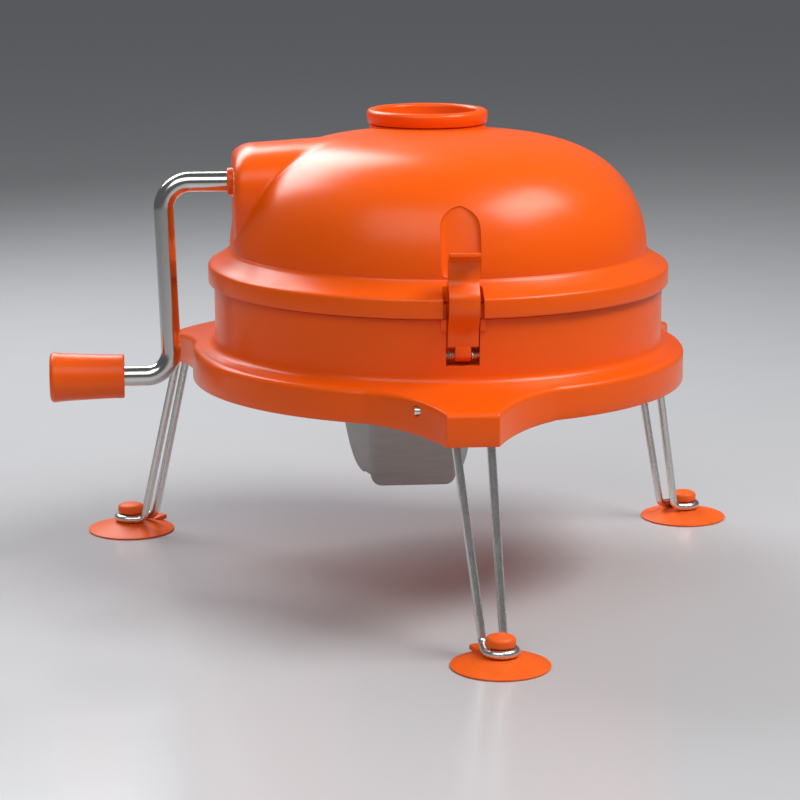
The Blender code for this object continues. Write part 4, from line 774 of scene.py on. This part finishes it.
def base_shell(sizes):
    outline = [(0, FLOOR_TOP), (DRUM_IN - 2.5, FLOOR_TOP)]
    outline += arc(DRUM_IN - 2.0, FLOOR_TOP + 2.0, 2.0, -80, 0, 4)
    outline += [(DRUM_IN, RIM_TOP - 0.5), (DRUM_IN + 0.5, RIM_TOP), (RIM_R - 0.5, RIM_TOP)]
    outline += [(RIM_R, RIM_TOP - 0.5), (RIM_R, FLANGE_BOTTOM - 0.3), (DRUM_R, FLANGE_BOTTOM - 0.9)]
    outline += [(DRUM_R, 170.0), (DRUM_R, 158.0), (DRUM_R, 149.0), (DRUM_R + 0.1, SKIRT_TOP + 5.6)]
    outline += arc(DRUM_R + 5.4, SKIRT_TOP + 5.6, 5.2, 190, 262, 7, 5.1)
    outline += [(142.6, 140.4), (143.6, 140.3), (144.6, 140.15)]
    outline += arc(SKIRT_R - 3.6, SKIRT_TOP - 3.9, 3.6, 82, 0, 8, 3.5)
    outline += [(SKIRT_R, 132.0), (SKIRT_R, 127.0), (SKIRT_R, SKIRT_BOTTOM + 0.6)]
    outline += [(SKIRT_R - 0.2, SKIRT_BOTTOM + 0.15), (SKIRT_R - 0.7, SKIRT_BOTTOM)]
    outline += [(SKIRT_IN + 0.4, SKIRT_BOTTOM), (SKIRT_IN, SKIRT_BOTTOM + 0.4), (SKIRT_IN, 130.0)]
    outline += [(SKIRT_IN, FLOOR_BOTTOM), (144.0, FLOOR_BOTTOM), (141.5, FLOOR_BOTTOM), (139, FLOOR_BOTTOM)]
    outline += [(0, FLOOR_BOTTOM)]
    bm = turned(outline, sizes.steps)
    bearings = [bearing % 360 for _, bearing, *_ in LEGS]
    crowd(bm, bearings, 13, 1.6)
    crowd(bm, [bearing + side for bearing in bearings for side in (-4.55, 4.55)], 0.9, 3.4)
    push_lobes(bm)
    for _, bearing, hand, *_ in LEGS:
        for side in (-1, 1):
            near, far = sorted((side * 15.0, side * 24.0))
            bm = join(bm, turned_about_axis(block(157.5, 166.5, near, far, 128.0, 136.0), bearing))
        first, last = sorted((-hand * (PIVOT_OPEN_END + 9.0), hand * (PIVOT_BLIND_END + 0.3)))
        bore = [(0, first), (PIVOT_BORE_R, first), (PIVOT_BORE_R, last), (0, last)]
        bm = cut(bm, turned_about_axis(along_y(turned(bore, 32), PIVOT_R, PIVOT_Z), bearing))
    front = RIM_R - 1.1
    bm = join(bm, block(-SLOT_HALF - 4.5, SLOT_HALF + 4.5, -front, -POCKET_BACK + POCKET_WALL,
                        FLOOR_TOP - 1, RIM_TOP))
    bm = cut(bm, block(-SLOT_HALF, SLOT_HALF, -145, -POCKET_BACK, SLOT_BOTTOM, RIM_TOP + 5))
    for side in (-1, 1):
        near, far = sorted((side * SLOT_HALF, side * (SLOT_HALF + 3.3)))
        bm = join(bm, block(near, far, -DRUM_R - 1.0, -DRUM_R + 1.5, 172.0, FLANGE_BOTTOM - 0.4))
    bm = cut(bm, cross_bore(LATCH_PIN_BORE_R, 13.3, 24, -LATCH_PIN_Y, LATCH_PIN_Z))
    ear = [(DRUM_R - 1.9, FLANGE_BOTTOM - 0.6), (HINGE_Y - KNUCKLE_R, FLANGE_BOTTOM - 0.6)]
    ear += arc(HINGE_Y, HINGE_Z, KNUCKLE_R, 180, 0, 16)
    ear += [(HINGE_Y + KNUCKLE_R, FLANGE_BOTTOM - 3), (HINGE_Y - 7, FLANGE_BOTTOM - 16)]
    ear += [(DRUM_R - 1.9, FLANGE_BOTTOM - 16)]
    for side in (-15.3, 15.3):
        bm = join(bm, side_prism(ear, 4.0, side, 0.5))
    bm = cut(bm, cross_bore(HINGE_BORE_R, 24, 32, HINGE_Y, HINGE_Z))
    screw_boss = [(0, 140), (4.8, 140), (4.8, 144.6), (4.4, 145), (0, 145)]
    for x in (GUIDE_X - 11.0, GUIDE_X + 11.0):
        bm = join(bm, turned(screw_boss, 32, (x, GUIDE_Y - 7)))
    return cut(bm, discharge_window())


def discharge_window():
    spread = GUIDE_WING * sin(GUIDE_FLARE)
    depth = GUIDE_WING * cos(GUIDE_FLARE)
    left, right = GUIDE_X - GUIDE_HALF + 4.0, GUIDE_X + GUIDE_HALF - 4.0
    front, back = GUIDE_Y + 4.0, FEED_Y + THROAT_IN
    outline = [(left, front), (right, front), (right + spread - 2, GUIDE_Y + depth)]
    outline += [(right + spread - 2, back - 6), (right + spread - 8, back), (left - spread + 8, back)]
    outline += [(left - spread + 2, back - 6), (left - spread + 2, GUIDE_Y + depth)]
    return prism([(x, y, FLOOR_BOTTOM - 5) for x, y in outline], (0, 0, 14))


# Latch, crank, legs and the rest


def latch_front(z):
    """How far out the back of the latch stands: proud over the flange, and back below its tab."""
    levels = [(150.0, LATCH_BACK), (168.0, LATCH_BACK), (186.0, 141.7), (191.0, 141.7)]
    levels += [(202.0, 134.7), (230.0, 134.7)]
    for (z0, y0), (z1, y1) in zip(levels, levels[1:]):
        if z <= z1:
            return y0 + (y1 - y0) * (1 - cos(pi * (z - z0) / (z1 - z0))) / 2
    return y1


def latch_plate():
    """Latch from the side: a barrel at its foot, a bow over the flange and a curled tab."""
    low, thick, curl = LATCH_BACK, LATCH_THICK, LATCH_CURL_Z
    heights = [163.0, *np.linspace(168, 202, 24), curl]
    inner = [(-latch_front(z), z) for z in heights if z < 197.4]
    inner += [(-132.5, 197.4), (-132.5, 199.0)] + [(-latch_front(z), z) for z in heights if z > 200.0]
    foremost = latch_front(curl)
    inner += [(-foremost - 10.6 * (1 - cos(pi / 2 * s)), curl + 11.5 * sin(pi / 2 * s))
              for s in np.linspace(0.12, 1, 10)]
    outer = [(-foremost - 11.1, curl + 9.4), (-foremost - 10.6, curl + 9.0)]
    outer += [(-foremost - thick - 8.0 * (1 - cos(pi / 2 * s)), curl + 9.0 * sin(pi / 2 * s))
              for s in np.linspace(0.94, 0.1, 9)]
    outer += [(-latch_front(z) - thick, z) for z in reversed(heights)]
    bm = side_prism(inner + outer, LATCH_HALF, edge=0.4)
    foot = [(-low - thick, 163.6), (-low - thick, 157.0)]
    foot += arc(-LATCH_PIN_Y, LATCH_PIN_Z, 3.4, 200, 400, 20) + [(-low, 163.6)]
    bm = join(bm, side_prism(foot, 4.5, edge=0.3))
    return cut(bm, cross_bore(LATCH_PIN_BORE_R, 8, 24, -LATCH_PIN_Y, LATCH_PIN_Z))


def feed_cup():
    """Pusher cup with its rolled rim on the throat's collar."""
    foot = COLLAR_TOP + 0.3
    top = CUP_RIM_TOP
    outline = [(0, CUP_BOTTOM), (CUP_R - 1.5, CUP_BOTTOM), (CUP_R - 0.3, CUP_BOTTOM + 0.5)]
    outline += [(CUP_R, CUP_BOTTOM + 1.6), (CUP_R, foot), (35.1, foot)]
    outline += [(36.6, foot + 0.2), (37.1, foot + 0.9)] + arc(34.9, top - 2.6, 2.6, 0, 90, 8)
    outline += arc(33.0, top - 2.2, 2.2, 90, 180, 7)
    outline += [(30.5, top - 6.5), (29.6, foot - 1.5), (CUP_IN, foot - 4), (CUP_IN, CUP_BOTTOM + 3.5)]
    outline += [(CUP_IN - 1.0, CUP_BOTTOM + 2.6), (0, CUP_BOTTOM + 2.5)]
    return turned(outline, 160, (FEED_X, FEED_Y))


def crank_rod(sizes):
    start = Vector((-SHAFT_SHOULDER, 0, CRANK_Z))
    top = Vector((-ARM_TOP_X, 0, CRANK_Z))
    low = Vector((-ARM_BOTTOM_X, 0, CRANK_Z - CRANK_THROW))
    end = Vector((-ROD_END_X, 0, CRANK_Z - CRANK_THROW))
    path = [start] + bend(start, top, low, 16.0, 16) + bend(top, low, end, 15.0, 16) + [end]
    bm = wire(path, sizes.rod_radius, 10)
    journal = turned([(0, 8), (3.1, 8), (JOURNAL_R, 8.4), (JOURNAL_R, 44), (0, 44)], 40)
    return join(bm, along_x(journal, 0, CRANK_Z))


def crank_grip(sizes):
    near, far, big = GRIP_INNER_X, GRIP_OUTER_X, sizes.grip_radius
    small = big - 1.9
    outline = [(6.4, near), (small - 1.1, near)] + arc(small - 1.0, near + 1.0, 1.0, -80, 0, 4)
    for share in np.linspace(0.12, 0.86, 9):
        outline.append((small - 0.15 + (big - small) * share ** 1.5, near + (far - near) * share))
    outline += arc(big - 3.0, far - 3.0, 3.0, 0, 84, 8)
    outline += [(6.6, far), (5.6, far - 0.6), (5.6, far - 5.8), (2.9, far - 5.8), (2.9, far - 9.5)]
    outline += [(6.4, far - 9.5)]
    return along_x(turned(outline, 96), 0, CRANK_Z - CRANK_THROW)


def leg_wire(hand, reach, aside, radius, spread):
    def at(out, across, height):
        return Vector((out, across * hand, height))

    end_a, knee_a = at(PIVOT_R, -PIVOT_OPEN_END, PIVOT_Z), at(PIVOT_R, -spread, PIVOT_Z)
    elbow_a = at(LEG_ELBOW_R, -spread, PIVOT_Z)
    foot_a = at(reach - FOOT_APPROACH, aside - LOOP_R, LOOP_Z)
    loop = [at(out, across, LOOP_Z) for out, across in arc(reach, aside, LOOP_R, -90, 120, 28)]
    clear = KNOB_R + radius + 0.3
    leave = (clear - LOOP_R / 2) / sin(radians(60))
    foot_b = at(reach - clear, aside + LOOP_R * sin(radians(60)) - leave / 2, LOOP_Z)
    elbow_b, knee_b = at(LEG_ELBOW_R, spread, PIVOT_Z), at(PIVOT_R, spread, PIVOT_Z)
    end_b = at(PIVOT_R, PIVOT_BLIND_END, PIVOT_Z)
    path = [end_a] + bend(end_a, knee_a, elbow_a, PIVOT_BEND, 6)
    path += bend(knee_a, elbow_a, foot_a, LEG_ELBOW_BEND, 8)
    path += bend(elbow_a, foot_a, loop[0], LOOP_BEND, 8) + loop
    path += bend(loop[-1], foot_b, elbow_b, LOOP_BEND, 8)
    path += bend(foot_b, elbow_b, knee_b, LEG_ELBOW_BEND, 8)
    path += bend(elbow_b, knee_b, end_b, PIVOT_BEND, 6) + [end_b]
    return wire(path, radius, 6)


def suction_cup(hand, reach, aside, lift):
    """Thin-lipped pad, neck and flattened knob, with a lifting tab at its edge."""
    top = KNOB_BOTTOM + KNOB_HEIGHT
    outline = [(PAD_R - 3.5, 0), (PAD_R - 0.3, 0), (PAD_R, 0.3), (PAD_R - 0.1, 0.9), (PAD_R - 1.5, 1.5)]
    outline += [(PAD_R - 5.0, 2.4), (PAD_R - 10.0, 3.8), (PAD_R - 15.0, 5.2), (10.0, 5.8), (8.5, 5.9)]
    outline += [(6.2, 5.9), (5.5, 6.3), (5.5, KNOB_BOTTOM - 0.3), (5.9, KNOB_BOTTOM)]
    outline += [(KNOB_R - 1.0, KNOB_BOTTOM)]
    outline += arc(KNOB_R - 1.0, KNOB_BOTTOM + 1.6, 1.0, -70, 0, 4, 1.6)
    outline += arc(KNOB_R - 3.4, KNOB_BOTTOM + 3.4, 3.4, 0, 78, 9, KNOB_HEIGHT - 3.9)
    outline += [(2.6, top - 0.25), (0, top), (0, 2.9), (9.5, 2.6)]
    bm = turned(outline, 72, (reach, aside * hand))
    tab = block(PAD_R * 0.62, PAD_R + 0.3, -5.0, 5.0, 1.9, 4.9, 0.7)
    tilt = Matrix.Rotation(radians(-4), 3, "Y")
    bmesh.ops.rotate(tab, cent=(PAD_R * 0.8, 0, 3.2), matrix=tilt, verts=tab.verts)
    bmesh.ops.translate(turned_about_axis(tab, lift), vec=(reach, aside * hand, 0), verts=tab.verts)
    return join(bm, tab)


def guide_sheet():
    """Bent sheet: a front plate whose wings flare back, with a tab under the floor."""
    slant = Vector((sin(GUIDE_FLARE), cos(GUIDE_FLARE), 0))
    corner = Vector((GUIDE_HALF, 0, 0))
    half = bend(Vector((0, 0, 0)), corner, corner + slant * 20, 4.5, 8) + [corner + slant * GUIDE_WING]
    line = [Vector((-p.x, p.y, 0)) for p in reversed(half)] + half
    bm = bmesh.new()
    foot = [bm.verts.new((GUIDE_X + p.x, GUIDE_Y + p.y, GUIDE_BOTTOM)) for p in line]
    edges = [bm.edges.new(pair) for pair in zip(foot, foot[1:])]
    grown = bmesh.ops.extrude_edge_only(bm, edges=edges)
    moved = [item for item in grown["geom"] if isinstance(item, bmesh.types.BMVert)]
    bmesh.ops.translate(bm, vec=(0, 0, GUIDE_TOP - GUIDE_BOTTOM), verts=moved)
    bmesh.ops.recalc_face_normals(bm, faces=bm.faces)
    toward = sum((face.normal.y for face in bm.faces), 0.0)
    bmesh.ops.solidify(bm, geom=bm.faces[:], thickness=GUIDE_SHEET if toward < 0 else -GUIDE_SHEET)
    bmesh.ops.recalc_face_normals(bm, faces=bm.faces)
    depth = GUIDE_WING * cos(GUIDE_FLARE)
    lower = [(GUIDE_Y + 1.8, GUIDE_BOTTOM - 2), (GUIDE_Y + depth + 9, GUIDE_BOTTOM - 2)]
    lower += [(GUIDE_Y + depth + 9, GUIDE_BOTTOM + 66)]
    for index in range(17):
        share = 1 - index / 16
        lower.append((GUIDE_Y + 1.8 + depth * share ** 0.75, GUIDE_BOTTOM + 6.6 + 54 * share ** 2.2))
    bm = cut(bm, side_prism(lower, GUIDE_HALF + GUIDE_WING, GUIDE_X))
    for side in (-1, 1):
        start = GUIDE_X + side * (GUIDE_HALF - 7.0)
        curve = arc(start, GUIDE_BOTTOM + 7.0, 7.0, -90, -90 + side * 90, 10)
        outline = curve + [(GUIDE_X + side * (GUIDE_HALF + 8), GUIDE_BOTTOM + 9.5),
                           (GUIDE_X + side * (GUIDE_HALF + 8), GUIDE_BOTTOM - 2), (start, GUIDE_BOTTOM - 2)]
        bm = cut(bm, prism([(x, GUIDE_Y - 3, z) for x, z in outline], (0, 12, 0)))
    return join(bm, block(GUIDE_X - 23.5, GUIDE_X + 23.5, GUIDE_Y - 14, GUIDE_Y + 0.6,
                          GUIDE_TOP - GUIDE_SHEET, GUIDE_TOP))


class CUTTER_OT_cover(Operator):
    """Build the domed cover with its bulge, throat, recess and flange"""
    bl_idname = "cutter.cover"
    bl_label = "Cover"

    def execute(self, context):
        sizes = context.scene.cutter_sizes
        colours = context.scene.cutter_colours
        look = moulded_plastic("cover_plastic", colours.plastic)
        piece("cover_moulding", cover_shell(sizes), "cover", look, ["dome_cover"])
        return {"FINISHED"}


class CUTTER_OT_base(Operator):
    """Build the base housing with its skirt, lobes, latch slot and hinge ears"""
    bl_idname = "cutter.base"
    bl_label = "Base housing"

    def execute(self, context):
        sizes = context.scene.cutter_sizes
        colours = context.scene.cutter_colours
        look = moulded_plastic("base_plastic", colours.plastic)
        piece("base_moulding", base_shell(sizes), "base", look, ["base_housing"])
        return {"FINISHED"}


class CUTTER_OT_latch(Operator):
    """Build the latch with its stepped plate and curled tab"""
    bl_idname = "cutter.latch"
    bl_label = "Latch"

    def execute(self, context):
        colours = context.scene.cutter_colours
        look = moulded_plastic("latch_plastic", colours.plastic, 0.3, 0)
        piece("latch_moulding", latch_plate(), "latch", look, ["latch"])
        return {"FINISHED"}


class CUTTER_OT_feed_cup(Operator):
    """Build the pusher cup with its rolled rim"""
    bl_idname = "cutter.feed_cup"
    bl_label = "Feed cup"

    def execute(self, context):
        colours = context.scene.cutter_colours
        look = moulded_plastic("cup_plastic", colours.plastic, 0.27, 0)
        piece("pusher_cup", feed_cup(), "feed_cup", look, ["feed_cup"])
        return {"FINISHED"}


class CUTTER_OT_crank(Operator):
    """Build the bent crank and its turning grip"""
    bl_idname = "cutter.crank"
    bl_label = "Crank and grip"

    def execute(self, context):
        sizes = context.scene.cutter_sizes
        colours = context.scene.cutter_colours
        steel = drawn_steel("polished_rod", scaled(colours.steel, 0.86), 0.12, (1, 1, 1), 0.02)
        piece("crank_bar", crank_rod(sizes), "crank", steel, ["crank_rod"], 50)
        look = moulded_plastic("grip_plastic", colours.plastic, 0.3, 0)
        piece("grip_moulding", crank_grip(sizes), "grip", look, ["crank_grip"])
        return {"FINISHED"}


class CUTTER_OT_legs(Operator):
    """Build the three sprung wire legs and their suction cups"""
    bl_idname = "cutter.legs"
    bl_label = "Legs and suction cups"

    def execute(self, context):
        sizes = context.scene.cutter_sizes
        colours = context.scene.cutter_colours
        steel = drawn_steel("leg_steel", scaled(colours.steel, 1.05), 0.24, (1, 1, 0.03), 0.03)
        rubber = soft_rubber("cup_rubber", colours.rubber)
        for name, bearing, hand, reach, aside in LEGS:
            bar = leg_wire(hand, reach, aside, sizes.wire_radius, LEG_SPREADS[name])
            piece(f"wire_{name}", turned_about_axis(bar, bearing), f"leg_{name}", steel, [f"leg_{name}"], 60)
            cup = suction_cup(hand, reach, aside, TABS[name])
            piece(f"foot_{name}", turned_about_axis(cup, bearing), f"leg_{name}", rubber, [f"cup_{name}"])
        return {"FINISHED"}


class CUTTER_OT_guide(Operator):
    """Build the bent sheet that leads the slices down"""
    bl_idname = "cutter.guide"
    bl_label = "Discharge guide"

    def execute(self, context):
        colours = context.scene.cutter_colours
        look = drawn_steel("guide_sheet", scaled(colours.steel, 0.56), 0.36, (0.05, 1, 1), 0.14)
        piece("guide_sheet", guide_sheet(), "base", look, ["discharge_guide"], 30)
        return {"FINISHED"}


class CUTTER_OT_inner_works(Operator):
    """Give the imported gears, bracket, disc, blades, bushes and fasteners their finishes"""
    bl_idname = "cutter.inner_works"
    bl_label = "Inner works"

    def execute(self, context):
        colours = context.scene.cutter_colours
        steel = colours.steel
        looks = {
            "blade_screw": drawn_steel("screw_steel", scaled(steel, 0.9), 0.28, (1, 1, 1)),
            "cutter_disc": drawn_steel("disc_steel", scaled(steel, 0.9), 0.3, (0.05, 1, 1), 0.1),
            "slicing_blade": drawn_steel("blade_steel", scaled(steel, 1.1), 0.14, (0.05, 1, 1), 0.05),
            "bevel": cast_metal("gear_metal", scaled(steel, 0.7), 0.38),
            "gear_carrier": cast_metal("bracket_metal", (0.62, 0.62, 0.63), 0.42, 700.0),
            "bush": cast_metal("bush_bronze", (0.58, 0.36, 0.15), 0.36),
            "disc_nut": moulded_plastic("nut_nylon", (0.78, 0.76, 0.68), 0.42, 0),
        }
        for name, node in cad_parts.items():
            if node.hide_render:
                continue
            found = [look for key, look in looks.items() if key in name]
            look = found[0] if found else looks["blade_screw"]
            node.data.materials.clear()
            node.data.materials.append(look)
        return {"FINISHED"}


class CUTTER_OT_studio(Operator):
    """Make the floor, the soft lights and the camera"""
    bl_idname = "cutter.studio"
    bl_label = "Studio"

    def execute(self, context):
        bm = bmesh.new()
        bmesh.ops.create_grid(bm, x_segments=1, y_segments=1, size=15)
        mesh = bpy.data.meshes.new("floor")
        bm.to_mesh(mesh)
        bm.free()
        mesh.materials.append(pale_floor("floor_top", context.scene.cutter_colours.floor))
        floor = bpy.data.objects.new("floor", mesh)
        floor.location = (0, 0, -0.0002)
        context.scene.collection.objects.link(floor)
        settings = context.scene.cutter_studio
        middle = AXIS + Vector((0, 0, 0.2))
        area("key", aimed(120, 38, 1.3), middle, (0.95, 0.62), settings.key, (0.97, 0.98, 1.0))
        area("main", aimed(-24, 52, 1.6), middle, (1.0, 0.6), settings.main, (1.0, 0.99, 0.97))
        area("front", aimed(-112, 44, 2.2), middle, (1.8, 1.2), settings.front, (1.0, 0.99, 0.98))
        world = bpy.data.worlds.new("sky")
        context.scene.world = world
        world.use_nodes = True
        sky = world.node_tree.nodes["Background"]
        sky.inputs["Color"].default_value = (0.62, 0.64, 0.68, 1)
        sky.inputs["Strength"].default_value = settings.sky
        context.scene.view_settings.view_transform = "Standard"
        place_camera(context.scene)
        return {"FINISHED"}


def aimed(bearing, rise, reach):
    """Place in the row frame at a bearing and a rise from the middle of the cutter, in degrees."""
    turn, tilt = radians(bearing), radians(rise)
    flat = reach * cos(tilt)
    return AXIS + Vector((flat * cos(turn), flat * sin(turn), 0.2 + reach * sin(tilt)))


def area(name, place, target, size, power, colour):
    light = bpy.data.lights.new(name, "AREA")
    light.shape = "RECTANGLE"
    light.size, light.size_y = size
    light.energy = power
    light.color = colour
    lamp = bpy.data.objects.new(name, light)
    lamp.location = place
    lamp.rotation_mode = "QUATERNION"
    lamp.rotation_quaternion = (target - place).to_track_quat("-Z", "Y")
    bpy.context.scene.collection.objects.link(lamp)


def place_camera(scene):
    """Camera of the photo: its place and aim round the body axis, turned with the object."""
    data = bpy.data.cameras.new("camera")
    data.lens = CAMERA_LENS
    data.sensor_width = 36.0
    data.clip_start, data.clip_end = 0.05, 60.0
    camera = bpy.data.objects.new("camera", data)
    scene.collection.objects.link(camera)
    forward = Vector((sin(CAMERA_YAW) * cos(CAMERA_PITCH), cos(CAMERA_YAW) * cos(CAMERA_PITCH),
                      -sin(CAMERA_PITCH)))
    turn = Matrix.Rotation(-TURN, 3, "Z")
    camera.location = AXIS + (turn @ Vector((0, -CAMERA_BACK, CAMERA_UP))) * MM
    camera.rotation_mode = "QUATERNION"
    camera.rotation_quaternion = (turn @ forward).to_track_quat("-Z", "Y")
    scene.camera = camera


class CUTTER_PT_panel(Panel):
    """Sizes, colours and operators of the cutter"""
    bl_label = "Vegetable cutter"
    bl_space_type = "VIEW_3D"
    bl_region_type = "UI"
    bl_category = "Cutter"

    def draw(self, context):
        layout = self.layout
        scene = context.scene
        for group in (scene.cutter_sizes, scene.cutter_colours, scene.cutter_studio):
            for name in group.__annotations__:
                layout.prop(group, name)
        for operator in OPERATORS:
            layout.operator(operator.bl_idname)


GROUPS = (CutterSizes, CutterColours, StudioSettings)
OPERATORS = (CUTTER_OT_cover, CUTTER_OT_base, CUTTER_OT_latch, CUTTER_OT_feed_cup, CUTTER_OT_crank,
             CUTTER_OT_legs, CUTTER_OT_guide, CUTTER_OT_inner_works, CUTTER_OT_studio)


def register():
    for kind in (*GROUPS, *OPERATORS, CUTTER_PT_panel):
        bpy.utils.register_class(kind)
    bpy.types.Scene.cutter_sizes = PointerProperty(type=CutterSizes)
    bpy.types.Scene.cutter_colours = PointerProperty(type=CutterColours)
    bpy.types.Scene.cutter_studio = PointerProperty(type=StudioSettings)


def unregister():
    del bpy.types.Scene.cutter_sizes
    del bpy.types.Scene.cutter_colours
    del bpy.types.Scene.cutter_studio
    for kind in reversed((*GROUPS, *OPERATORS, CUTTER_PT_panel)):
        bpy.utils.unregister_class(kind)


def main():
    register()
    bpy.ops.cutter.cover()
    bpy.ops.cutter.base()
    bpy.ops.cutter.latch()
    bpy.ops.cutter.feed_cup()
    bpy.ops.cutter.crank()
    bpy.ops.cutter.legs()
    bpy.ops.cutter.guide()
    bpy.ops.cutter.inner_works()
    bpy.ops.cutter.studio()
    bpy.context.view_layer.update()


if __name__ == "__main__":
    main()
